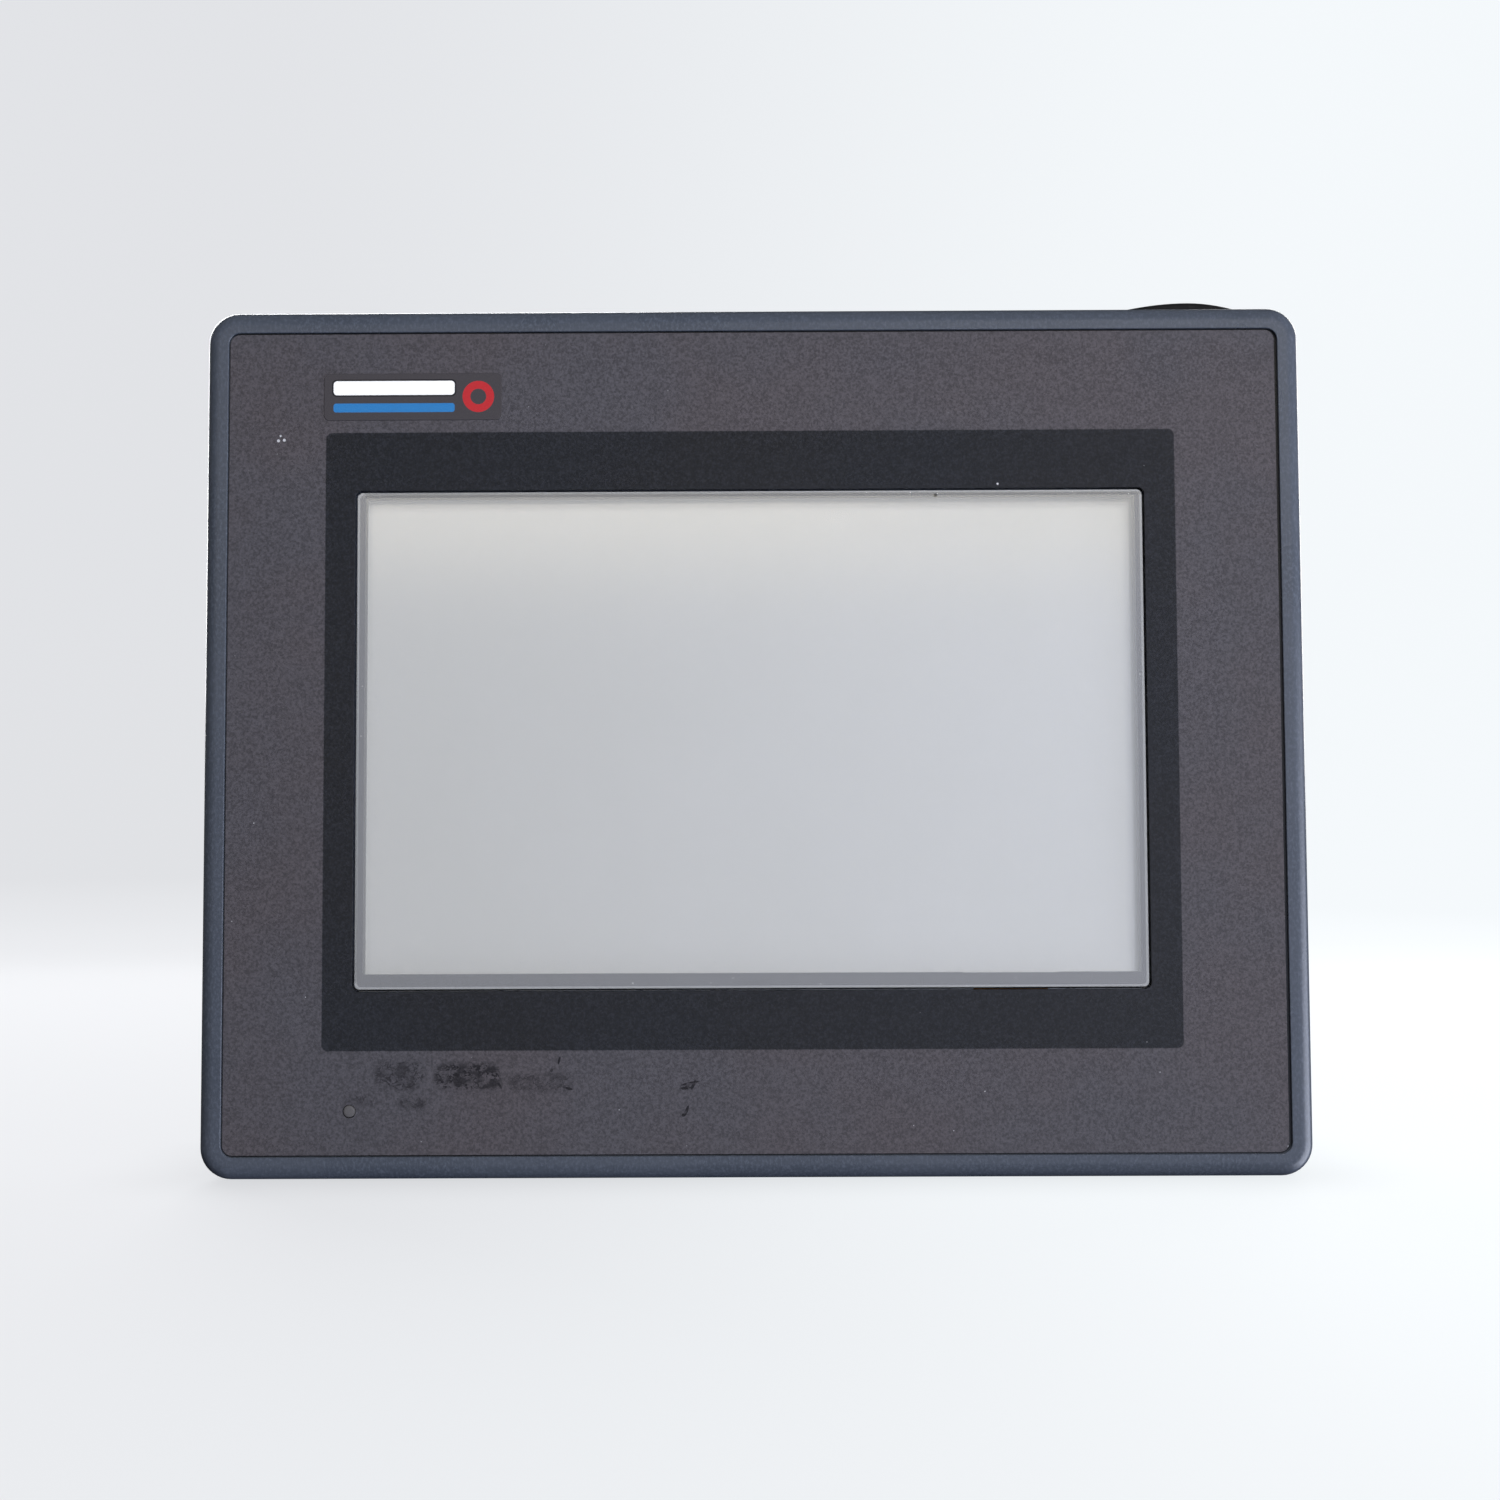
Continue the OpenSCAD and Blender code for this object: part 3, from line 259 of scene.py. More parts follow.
def overlay_paint():
    """Printed sheet: warm grey, blue-black border round the window, residue, nicks and dust."""
    p = Paint("overlay_print", Specular_IOR_Level=0.6)
    grains = p.noise(0.45, detail=2, roughness=0.75)
    cloud = p.noise(42, detail=3, roughness=0.55)
    ground = p.mix(p.step(cloud, 0.35, 0.65), srgb(56, 53, 57), srgb(55, 54, 59))
    border = p.mix(p.step(cloud, 0.35, 0.65), srgb(14, 15, 19), srgb(15, 17, 22))
    border = p.mix(p.step(grains, 0.4, 0.8, 0.0, 0.35), border, srgb(36, 37, 43))
    inside = p.rectangle(BORDER_X, BORDER_Z, BORDER_W, BORDER_H, 1.2, 0.12)
    base = p.mix(inside, ground, border)
    speckle = p.step(grains, 0.3, 0.7, 0.66, 1.38)
    tint = p.add("ShaderNodeCombineXYZ", i0=speckle, i1=speckle, i2=speckle).outputs[0]
    base = p.mix(1.0, base, tint, "MULTIPLY")
    curls = p.noise(1.7, detail=2, roughness=0.5, stretch=(1.1, 1, 0.85), warp=1.2)
    lines = p.step(p.math("ABSOLUTE", p.math("SUBTRACT", curls, 0.5)), 0.02, 0.045, 1.0, 0.0)
    broad = p.noise(2.6, detail=4, roughness=0.7, shift=7.3, stretch=(1.2, 1, 0.8), warp=0.5)
    blots = p.math("MULTIPLY", p.step(broad, 0.5, 0.57), 0.8)
    haze = p.math("MULTIPLY", p.step(broad, 0.36, 0.5), 0.3)
    lines = p.math("MULTIPLY", lines, p.step(broad, 0.38, 0.44))
    ink = p.math("MAXIMUM", p.math("MAXIMUM", lines, blots), haze)
    stain = None
    for x, z, w, h, strength in RESIDUE:
        patch = p.rectangle(x, z, w, h, min(w, h) / 2, 0.8)
        spot = p.math("MULTIPLY", p.math("MULTIPLY", patch, ink), strength)
        stain = spot if stain is None else p.math("MAXIMUM", stain, spot)
    for x, z, length, width, angle in STROKES:
        stroke = p.stroke(x, z, length, width, angle)
        stain = p.math("MAXIMUM", stain, p.math("MULTIPLY", stroke, p.step(curls, 0.3, 0.5, 0.4, 0.95)))
    base = p.mix(stain, base, srgb(14, 12, 16))
    pale = None
    for x, z, r in NICKS:
        dot = p.disc(x, z, r, 0.1)
        pale = dot if pale is None else p.math("MAXIMUM", pale, dot)
    dust = p.math("LESS_THAN", p.cells(3.1, stretch=(1, 1, 1.15)), 0.033)
    sparse = p.step(p.noise(19, detail=2, shift=3.0), 0.52, 0.62)
    dust = p.math("MULTIPLY", p.math("MULTIPLY", dust, sparse), 0.55)
    base = p.mix(p.math("MAXIMUM", p.math("MULTIPLY", pale, 0.75), dust), base, srgb(176, 178, 184))
    height = p.math("SUBTRACT", grains, p.math("MULTIPLY", pale, 3.0))
    rough = p.math("ADD", p.step(cloud, 0.3, 0.7, 0.5, 0.56), p.math("MULTIPLY", stain, 0.2))
    return p.finish(base, rough, p.bump(height, 0.02))


def bezel_paint():
    """Satin moulded blue-grey plastic, scratched at the bottom of the rim, painted near black as shade in
    the recess round the overlay.
    """
    p = Paint("bezel_plastic", Specular_IOR_Level=0.45)
    grains = p.noise(0.5, detail=2, roughness=0.7, stretch=(1, 1, 1.6))
    cloud = p.noise(30, detail=3)
    base = p.mix(p.step(cloud, 0.3, 0.7), srgb(51, 56, 65), srgb(55, 60, 69))
    base = p.mix(p.math("MULTIPLY", p.step(grains, 0.4, 0.8), 0.4), base, srgb(84, 90, 103))
    scratches = p.step(p.noise(3, detail=5, roughness=0.75, stretch=(6, 1, 0.25), warp=0.3), 0.64, 0.7)
    bottom_rim = p.rectangle(0.5, -79.2, 13, 1.6, 0.8, 1.5)
    worn = p.math("MULTIPLY", scratches, bottom_rim)
    base = p.mix(p.math("MULTIPLY", worn, 0.8), base, srgb(150, 160, 172))
    # Painted shade: the plastic in the recess is painted near black, so the gap round the overlay shows
    # dark.
    recess = p.rectangle(0, 0, BEZEL.x - 2 * RIM_W - 0.1, BEZEL.z - 2 * RIM_W - 0.1, RIM_R, 0.04)
    recess = p.math("MULTIPLY", recess, p.math("LESS_THAN", p.xyz[1], OVERLAY_HI.y + 0.05))
    base = p.mix(recess, base, srgb(9, 9, 10))
    rough = p.step(cloud, 0.3, 0.7, 0.25, 0.3)
    return p.finish(base, rough, p.bump(grains, 0.014))


def badge_paint():
    """Printed sticker with a plain generic design: two bars and a ring."""
    p = Paint("badge_print", Specular_IOR_Level=0.35)
    x, z = BADGE_MID.x, BADGE_MID.z
    grains = p.noise(0.2, detail=2)
    base = p.mix(grains, srgb(47, 45, 48), srgb(54, 52, 56))
    fade = p.step(p.noise(1.3, detail=4, roughness=0.7), 0.2, 0.45, 0.82, 1.0)

    def print_on(under, mask, colour):
        return p.mix(p.math("MULTIPLY", mask, fade), under, colour)

    base = print_on(base, p.rectangle(x - 3.6, z + 1.7, 23.6, 3.3, 0.9, 0.06), srgb(24, 24, 28))
    base = print_on(base, p.rectangle(x - 3.6, z + 1.7, 23.0, 2.7, 0.7, 0.06), srgb(205, 206, 207))
    base = print_on(base, p.rectangle(x - 3.6, z - 2.1, 23.0, 1.7, 0.5, 0.06), srgb(34, 96, 148))
    ring = p.math("SUBTRACT", p.disc(x + 12.4, z, 3.0, 0.06), p.disc(x + 12.4, z, 1.5, 0.06))
    base = print_on(base, ring, srgb(146, 32, 38))
    return p.finish(base, p.step(grains, 0.3, 0.7, 0.34, 0.42), p.bump(grains, 0.006))


def rubber_paint():
    """Black sealing rubber with a dusty bloom."""
    p = Paint("gasket_rubber", Specular_IOR_Level=0.35)
    bloom = p.step(p.noise(1.4, detail=5, roughness=0.7), 0.5, 0.8)
    base = p.mix(p.math("MULTIPLY", bloom, 0.35), srgb(18, 18, 19), srgb(58, 57, 55))
    return p.finish(base, p.step(bloom, 0, 1, 0.55, 0.75), p.bump(p.noise(0.3, detail=3), 0.02))


def lcd_paint():
    """Unlit display cell: pale grey with the faint grid of its dots."""
    p = Paint("lcd_cell", Specular_IOR_Level=1.0, IOR=1.9)
    dot = 0.45
    lines = [p.math("FRACT", p.math("DIVIDE", p.xyz[axis], dot)) for axis in (0, 2)]
    gaps = [p.math("GREATER_THAN", line, 0.86) for line in lines]
    cloud = p.step(p.noise(38, detail=2), 0.3, 0.7)
    base = p.mix(cloud, srgb(180, 180, 175), srgb(182, 182, 178))
    base = p.mix(p.math("MULTIPLY", p.math("MAXIMUM", *gaps), 0.05), base, srgb(160, 164, 162))
    return p.finish(base, p.step(cloud, 0, 1, 0.12, 0.13))


def film_paint():
    """Clear hard-coated film: even haze, a few fine hairlines and one dark mark."""
    p = Paint("touch_film", Alpha=0.2, Specular_IOR_Level=1.0, IOR=1.95)
    cloud = p.noise(60, detail=1)
    hairs = p.step(p.noise(2.5, detail=5, roughness=0.8, stretch=(9, 1, 0.3), warp=0.2), 0.72, 0.78)
    base = p.mix(p.math("MULTIPLY", hairs, 0.12), srgb(188, 190, 191), srgb(230, 231, 231))
    mark = p.disc(34.5, 46.0, 0.35, 0.12)
    base = p.mix(mark, base, srgb(12, 12, 13))
    return p.finish(base, p.step(cloud, 0.3, 0.7, 0.09, 0.1), p.bump(cloud, 0.01))


def tape_paint():
    """Grey spacer sheet between film and glass, with small bubbles and a paler outer edge that is a painted
    highlight of the film's edge.
    """
    p = Paint("adhesive_tape", Specular_IOR_Level=0.3)
    # Painted highlight: the outer edge of the sheet is painted paler, for light caught at the film's edge.
    inner = p.rectangle(FILM_MID.x, FILM_MID.z, FILM.x - 0.9, FILM.z - 0.9, 0.8, 0.08)
    cloud = p.noise(6, detail=4)
    base = p.mix(inner, srgb(132, 134, 137), p.mix(cloud, srgb(80, 81, 86), srgb(88, 89, 94)))
    bubbles = p.math("LESS_THAN", p.cells(2.4), 0.07)
    base = p.mix(p.math("MULTIPLY", bubbles, 0.35), base, srgb(190, 192, 194))
    return p.finish(base, p.step(cloud, 0.3, 0.7, 0.4, 0.5))


def label_paint():
    """Blank foil label: thin printed frame and ruled cells, nothing written in them."""
    p = Paint("label_foil", Specular_IOR_Level=0.6)
    _, _, mid, size = box_mm("rating_label")
    margin, line, row = 4, 0.3, 7.2
    fibres = p.noise(0.5, detail=3, stretch=(8, 1, 1))
    base = p.mix(fibres, srgb(178, 181, 183), srgb(198, 200, 201))
    rule = p.math("SUBTRACT", p.rectangle(mid.x, mid.z, size.x - margin, size.z - margin, 0.8, 0.05),
                  p.rectangle(mid.x, mid.z, size.x - 4.7, size.z - 4.7, 0.5, 0.05))
    for k in (-1, 0, 1):
        across = p.rectangle(mid.x, mid.z + row * k, size.x - margin, line, 0.1, 0.04)
        rule = p.math("MAXIMUM", rule, across)
    upright = p.rectangle(mid.x - 8, mid.z, line, size.z - margin, 0.1, 0.04)
    rule = p.math("MAXIMUM", rule, upright)
    base = p.mix(p.math("MULTIPLY", rule, 0.85), base, srgb(40, 42, 46))
    return p.finish(base, p.step(fibres, 0.2, 0.8, 0.3, 0.42), p.bump(fibres, 0.003))


def shell_paint():
    """Tinned connector shell with tarnish, round a black plastic insert."""
    p = Paint("shell_metal")
    mid = box_mm("serial_connector")[2]
    insert_w, insert_h, insert_r = 35.8, 7.1, 2.0
    insert = p.rectangle(mid.x, mid.z, insert_w, insert_h, insert_r, 0.1)
    tarnish = p.noise(4, detail=3, roughness=0.6)
    base = p.mix(tarnish, srgb(178, 180, 179), srgb(212, 213, 211))
    base = p.mix(insert, base, p.mix(tarnish, srgb(22, 23, 25), srgb(32, 33, 36)))
    p.link(p.math("SUBTRACT", 1.0, insert), p.shader.inputs["Metallic"])
    rough = p.math("ADD", p.step(insert, 0, 1, 0.26, 0.45), p.step(tarnish, 0.3, 0.7, 0.0, 0.08))
    return p.finish(base, rough, p.bump(tarnish, 0.004))


def board_paint():
    """Green laminate: copper tracks that show through the solder mask."""
    p = Paint("board_laminate", Specular_IOR_Level=0.6)
    tracks = p.step(p.cells(2.6, feature="DISTANCE_TO_EDGE", randomness=0.6), 0.03, 0.07)
    base = p.mix(tracks, srgb(70, 130, 78), srgb(30, 84, 46))
    return p.finish(base, p.step(tracks, 0, 1, 0.25, 0.38), p.bump(tracks, -0.03))


def laminated(name, colour):
    """Stacked core sheets under varnish."""
    p = Paint(name, Metallic=0.6)
    sheets = p.math("FRACT", p.math("DIVIDE", p.xyz[2], 0.5))
    gap = p.step(sheets, 0.75, 0.95)
    dark = [c * 0.4 for c in colour[:3]] + [1.0]
    return p.finish(p.mix(gap, colour, dark), p.step(gap, 0, 1, 0.4, 0.6), p.bump(gap, -0.05))


PAINTS = {
    "bezel_plastic": bezel_paint(),
    "overlay_print": overlay_paint(),
    "badge_print": badge_paint(),
    "led_lens": clear("led_lens", srgb(73, 72, 74), 0.95, 0.4, 0.4),
    "gasket_rubber": rubber_paint(),
    "touch_film": film_paint(),
    "touch_glass": clear("touch_glass", srgb(190, 198, 196), 0.04, 0.04),
    "spacer_dots": clear("spacer_dots", srgb(226, 228, 228), 0.35, 0.25, 0.2),
    "adhesive_tape": tape_paint(),
    "seal_foam": moulded("seal_foam", srgb(38, 38, 40), 0.8, 0.5, 0.05, 0.15, 0.2),
    "flex_film": moulded("flex_film", srgb(168, 112, 40), 0.3, 1.0, 0.01, 0.12),
    "sheet_steel": metal("sheet_steel", srgb(176, 178, 180), 0.35, (10, 1, 1)),
    "lcd_cell": lcd_paint(),
    "white_plastic": moulded("white_plastic", srgb(226, 226, 221), 0.5, 0.5, 0.01, 0.04),
    "clear_acrylic": clear("clear_acrylic", srgb(230, 238, 238), 0.4, 0.05),
    "lamp_glass": clear("lamp_glass", srgb(240, 240, 236), 0.9, 0.15),
    "wire_insulation": moulded("wire_insulation", srgb(212, 208, 204), 0.4, 0.6, 0.01, 0.05),
    "power_wire": moulded("power_wire", srgb(125, 45, 42), 0.4, 0.6, 0.01, 0.08),
    "board_laminate": board_paint(),
    "chip_plastic": moulded("chip_plastic", srgb(34, 36, 38), 0.5, 0.2, 0.012, 0.12),
    "connector_black": moulded("connector_black", srgb(27, 28, 31), 0.4, 0.5, 0.008, 0.14),
    "brass": metal("brass", srgb(200, 162, 84), 0.28),
    "contact_brass": metal("contact_brass", srgb(203, 170, 92), 0.25, (1, 1, 12)),
    "steel_screw": metal("steel_screw", srgb(190, 192, 192), 0.27),
    "battery_steel": metal("battery_steel", srgb(200, 202, 204), 0.18, (12, 1, 1)),
    "transformer_core": laminated("transformer_core", srgb(88, 88, 90)),
    "capacitor_sleeve": moulded("capacitor_sleeve", srgb(42, 50, 80), 0.25, 1.5, 0.01, 0.1),
    "housing_plastic": moulded("housing_plastic", srgb(60, 64, 72), 0.5, 0.55, 0.03, 0.07),
    "hatch_plastic": moulded("hatch_plastic", srgb(56, 60, 67), 0.5, 0.55, 0.03, 0.07),
    "label_foil": label_paint(),
    "shell_metal": shell_paint(),
    "clear_cover": clear("clear_cover", srgb(150, 166, 174), 0.22, 0.06, 0.8),
    "button_plastic": moulded("button_plastic", srgb(185, 180, 166), 0.45, 0.4, 0.01, 0.06),
    "dip_red": moulded("dip_red", srgb(160, 52, 46), 0.32, 0.4, 0.006, 0.08),
    "dip_white": moulded("dip_white", srgb(234, 233, 226), 0.4, 0.4, 0.006, 0.04),
}


# ---------------------------------------------------------------- shapes

def ring(w, h, r, y, x=0.0, z=0.0, steps=10):
    """A rounded rectangle at depth y, as points in metres."""
    points = []
    for sx, sz, start in ((1, 1, 0), (-1, 1, 90), (-1, -1, 180), (1, -1, 270)):
        for k in range(steps + 1):
            a = math.radians(start + 90 * k / steps)
            points.append(Vector((x + sx * (w / 2 - r) + r * math.cos(a), y,
                                  z + sz * (h / 2 - r) + r * math.sin(a))) * MM)
    return points


def skin(rings, closed=False):
    """Faces through a row of rings: a closed loop, or a bar with a face on each end."""
    bm = bmesh.new()
    rows = [[bm.verts.new(p) for p in points] for points in rings]
    for a, b in zip(rows, rows[1:] + rows[:1] if closed else rows[1:]):
        for i in range(len(a)):
            j = (i + 1) % len(a)
            bm.faces.new((a[i], a[j], b[j], b[i]))
    if not closed:
        bm.faces.new(rows[0])
        bm.faces.new(rows[-1])
    bmesh.ops.recalc_face_normals(bm, faces=bm.faces)
    return bm


def shade(mesh, sharp=35):
    """Smooth shading that breaks at edges sharper than the angle given."""
    bm = bmesh.new()
    bm.from_mesh(mesh)
    for face in bm.faces:
        face.smooth = True
    for edge in bm.edges:
        edge.smooth = edge.is_manifold and edge.calc_face_angle() < math.radians(sharp)
    bm.to_mesh(mesh)
    bm.free()


def piece(name, bm, slot, replaces=(), body=ROOT, paint=None):
    """A new mesh object that rides on a body and takes the finish of a record slot."""
    mesh = bpy.data.meshes.new(name)
    bm.to_mesh(mesh)
    bm.free()
    shade(mesh)
    mesh.materials.append(PAINTS[paint or slot])
    thing = bpy.data.objects.new(name, mesh)
    scene.collection.objects.link(thing)
    even = thing.modifiers.new("even_shading", "WEIGHTED_NORMAL")
    even.keep_sharp = True
    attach(thing, body)
    if replaces:
        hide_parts(*replaces)
    return thing


def disc_ring(x, z, r, y, steps=48):
    return [Vector((x + r * math.cos(2 * math.pi * k / steps), y,
                    z + r * math.sin(2 * math.pi * k / steps))) * MM for k in range(steps)]


def drill(thing, x, z, r, y0, y1):
    """Cuts a round hole along Y through a piece and keeps the cut mesh."""
    cutter_mesh = bpy.data.meshes.new("cutter")
    bm = skin([disc_ring(x, z, r, y0), disc_ring(x, z, r, y1)])
    bm.to_mesh(cutter_mesh)
    bm.free()
    cutter = bpy.data.objects.new("cutter", cutter_mesh)
    scene.collection.objects.link(cutter)
    cut = thing.modifiers.new("drill", "BOOLEAN")
    cut.operation = "DIFFERENCE"
    cut.solver = "EXACT"
    cut.object = cutter
    kept = [m for m in thing.modifiers if m != cut]
    for m in kept:
        m.show_viewport = False
    result = bpy.data.meshes.new_from_object(thing.evaluated_get(bpy.context.evaluated_depsgraph_get()))
    thing.modifiers.remove(cut)
    for m in kept:
        m.show_viewport = True
    name = thing.data.name
    thing.data = result
    result.name = name
    bpy.data.objects.remove(cutter)
    shade(result)


def arc(inset, y, r, start, end, steps=10):
    """Points (inset, y) along a quarter round in the bezel's section."""
    turns = (math.radians(start + (end - start) * k / steps) for k in range(steps + 1))
    return [(inset - r * math.cos(a), y - r * math.sin(a)) for a in turns]


def make_bezel():
    """The frame's closed section: front edge, recess, window, seat of the cover, groove and lip."""
    bead = 0.18

    def outline(inset, y, r):
        return ring(BEZEL.x - 2 * inset, BEZEL.z - 2 * inset, r, y)

    rings = [outline(0.35, 0.0, BEZEL_R - 0.35), outline(0.1, -0.1, BEZEL_R - 0.1),
             outline(0.0, -0.35, BEZEL_R)]
    for inset, y in arc(EDGE_R, FRONT_Y + EDGE_R, EDGE_R, 0, 90):
        rings.append(outline(inset, y, BEZEL_R - inset))
    for inset, y in arc(RIM_W - bead, FRONT_Y + bead, bead, 90, 180, 4):
        rings.append(outline(inset, y, max(RIM_R, BEZEL_R - inset)))
    rings.append(outline(RIM_W, OVERLAY_HI.y, RIM_R))
    window = (WINDOW_W + 0.2, WINDOW_H + 0.2, 1.4)
    rings.append(ring(*window, OVERLAY_HI.y, FILM_MID.x, FILM_MID.z))
    rings.append(ring(*window, PLATE_Y, FILM_MID.x, FILM_MID.z))
    inner = (COVER.x - 2 * WALL, COVER.z - 2 * WALL, 1.5)
    seat = (COVER.x + 0.3, COVER.z + 0.3, 4.15)
    rings += [ring(*inner, PLATE_Y), ring(*inner, COVER_LO.y), ring(*seat, COVER_LO.y),
              ring(*seat, -0.15), ring(seat[0] + 0.3, seat[1] + 0.3, seat[2] + 0.15, 0.0)]
    near = (BEZEL.x - 2 * (LIP_W + GROOVE_W), BEZEL.z - 2 * (LIP_W + GROOVE_W), 3.3)
    far = (BEZEL.x - 2 * LIP_W, BEZEL.z - 2 * LIP_W, 6.7)
    rings += [ring(*near, 0.0), ring(*near, -GROOVE_DEPTH), ring(*far, -GROOVE_DEPTH), ring(*far, 0.0)]
    bezel = piece("bezel_moulding", skin(rings, closed=True), "bezel_plastic", ("front_bezel",))
    drill(bezel, LED_X, LED_Z, LED_R + 0.1, FRONT_Y - 1, 0)


make_bezel()


def make_overlay():
    """The printed sheet with softened edges, open at the screen and at the status light."""
    low, high = OVERLAY_LO.y, OVERLAY_HI.y
    edge = 0.09
    window = (WINDOW_W, WINDOW_H, 1.3)
    rings = [ring(OVERLAY.x - shrink, OVERLAY.z - shrink, OVERLAY_R, y, OVERLAY_MID.x)
             for shrink, y in ((0, high), (0, low + edge),
                               (0.6 * edge, low + 0.3 * edge), (2 * edge, low))]
    for grow, y in ((2 * edge, low), (0.6 * edge, low + 0.3 * edge), (0, low + edge), (0, high)):
        rings.append(ring(window[0] + grow, window[1] + grow, window[2], y, FILM_MID.x, FILM_MID.z))
    sheet = piece("overlay_sheet", skin(rings, closed=True), "overlay_print", ("front_overlay",))
    drill(sheet, LED_X, LED_Z, LED_R + 0.1, low - 1, high + 1)


make_overlay()


def thin_sheet(name, slot, node, r, edge):
    """A flat rounded sheet with a softened front edge, in the place of a CAD node."""
    lo, hi, mid, size = box_mm(node)
    rings = [ring(size.x, size.z, r, hi.y, mid.x, mid.z),
             ring(size.x, size.z, r, lo.y + edge, mid.x, mid.z)]
    for a in (30, 60, 90):
        back = edge * (1 - math.cos(math.radians(a)))
        y = lo.y + edge * (1 - math.sin(math.radians(a)))
        rings.append(ring(size.x - 2 * back, size.z - 2 * back, r - back / 2, y, mid.x, mid.z))
    return piece(name, skin(rings), slot, (node,))


thin_sheet("badge_sticker", "badge_print", "name_badge", 1.0, 0.1)
thin_sheet("film_sheet", "touch_film", "touch_film", 1.0, 0.12)


def make_lens():
    """Light pipe with a softly domed end, and its mounting tab behind the bezel."""
    back_y, flat_r, dome = -3.7, 0.55, 0.25
    rings = [disc_ring(LED_X, LED_Z, LED_R, back_y), disc_ring(LED_X, LED_Z, LED_R, LENS_LO.y + dome)]
    for a in range(20, 91, 14):
        lean = math.radians(a)
        rings.append(disc_ring(LED_X, LED_Z, flat_r + (LED_R - flat_r) * math.cos(lean),
                               LENS_LO.y + dome * (1 - math.sin(lean))))
    bm = skin(rings)
    tab_w, tab_h, tab_up = 4, 4.4, 1.6
    made = bmesh.ops.create_cube(bm, size=1.0)
    for v in made["verts"]:
        v.co = Vector((LED_X + tab_w * v.co.x, PLATE_Y + 0.5 + v.co.y, LED_Z + tab_up + tab_h * v.co.z)) * MM
    piece("led_light_pipe", bm, "led_lens", ("status_led_lens",))


make_lens()


def make_spacer_dots():
    """Tiny domes on the touch glass that keep the film off it, in a regular grid."""
    pitch, r, height = 4.55, 0.16, 0.05
    y = box_mm("touch_glass")[0].y
    bm = bmesh.new()
    sides = 8
    for i in range(int(VIEW_W / pitch)):
        for k in range(int(VIEW_H / pitch)):
            x = VIEW_X - VIEW_W / 2 + pitch * (i + 0.5)
            z = VIEW_Z - VIEW_H / 2 + pitch * (k + 0.5)
            foot = [bm.verts.new(p) for p in disc_ring(x, z, r, y, sides)]
            crown = [bm.verts.new(p) for p in disc_ring(x, z, r * 0.6, y - 0.75 * height, sides)]
            top = bm.verts.new(Vector((x, y - height, z)) * MM)
            bm.faces.new(foot)
            for n in range(sides):
                m = (n + 1) % sides
                bm.faces.new((foot[n], foot[m], crown[m], crown[n]))
                bm.faces.new((crown[n], crown[m], top))
    bmesh.ops.recalc_face_normals(bm, faces=bm.faces)
    piece("spacer_dots", bm, "touch_glass", paint="spacer_dots")


make_spacer_dots()


# ---------------------------------------------------------------- panel seal

SEAL_W, SEAL_H, SEAL_TOP = 3.2, 2.8, 0.7
SEAL_CORNER = 5.0
GROOVE_MID = LIP_W + GROOVE_W / 2
SEAL_X = BEZEL.x / 2 - GROOVE_MID - SEAL_CORNER
SEAL_Z = BEZEL.z / 2 - GROOVE_MID - SEAL_CORNER
BULGE_X, BULGE_OUT, BULGE_LIFT = 84.5, 5.95, 2.25
REACH = (29.0, 39.0)
LIFT_RUN = 8.0


def seal_route():
    """Points along the seal's middle line from the bulge's peak clockwise: place and outward way."""
    route = []

    def straight(start, end, out):
        steps = max(1, round((end - start).length / 1.5))
        for k in range(steps):
            route.append((start.lerp(end, k / steps), out))

    hubs = [Vector((sx * SEAL_X, 0, sz * SEAL_Z)) for sx, sz in ((1, 1), (1, -1), (-1, -1), (-1, 1))]
    outs = [Vector((0, 0, 1)), Vector((1, 0, 0)), Vector((0, 0, -1)), Vector((-1, 0, 0))]
    peak = Vector((BULGE_X, 0, SEAL_Z + SEAL_CORNER))
    start = peak
    for n, hub in enumerate(hubs):
        straight(start, hub + SEAL_CORNER * outs[n], outs[n])
        for k in range(9):
            a = math.radians(90 - 90 * n - 90 * k / 9)
            out = Vector((math.cos(a), 0, math.sin(a)))
            route.append((hub + SEAL_CORNER * out, out))
        start = hub + SEAL_CORNER * outs[(n + 1) % 4]
    straight(start, peak, outs[0])
    return route


def make_seal():
    """The rubber seal in its groove, with the stretch that has sprung out over the lip."""
    half, corner = SEAL_W / 2, 0.75
    section = []
    for su, sv, start in ((1, 1, 0), (-1, 1, 90), (-1, -1, 180), (1, -1, 270)):
        for k in range(5):
            a = math.radians(start + 90 * k / 4)
            section.append((su * (half - corner) + corner * math.cos(a),
                            SEAL_TOP - SEAL_H / 2 + sv * (SEAL_H / 2 - corner) + corner * math.sin(a)))
    route = seal_route()
    walked = [0.0]
    for (here, _), (after, _) in zip(route, route[1:] + route[:1]):
        walked.append(walked[-1] + (after - here).length)
    rings = []
    for (middle, out), gone in zip(route, walked):
        away = min(gone, walked[-1] - gone)
        reach = REACH[0 if gone < walked[-1] / 2 else 1]
        push = BULGE_OUT * (1 + math.cos(math.pi * min(1.0, away / reach))) / 2
        d = min(1.0, max(0.0, (away - reach) / LIFT_RUN))
        lift = BULGE_LIFT * (1 + math.cos(math.pi * d)) / 2
        rings.append([(middle + (push + u) * out + Vector((0, v + lift, 0))) * MM for u, v in section])
    piece("seal_strip", skin(rings, closed=True), "gasket_rubber", ("panel_gasket",))


make_seal()


# ---------------------------------------------------------------- CAD nodes that stay

def dress(node, slot, edge=0.0):
    """Gives a CAD node its material and, where it shows, fine rounded edges."""
    thing = frame["nodes"][node]
    thing.data.materials.clear()
    thing.data.materials.append(PAINTS[slot])
    if edge:
        weld = thing.modifiers.new("weld", "WELD")
        weld.merge_threshold = 1e-6
        flat = thing.modifiers.new("flat_faces", "DECIMATE")
        flat.decimate_type = "DISSOLVE"
        flat.angle_limit = math.radians(0.5)
        bevel = thing.modifiers.new("soft_edges", "BEVEL")
        bevel.width = edge * MM
        bevel.segments = 2
        bevel.limit_method = "ANGLE"
        bevel.angle_limit = math.radians(40)
        bevel.use_clamp_overlap = True
        bevel.harden_normals = True


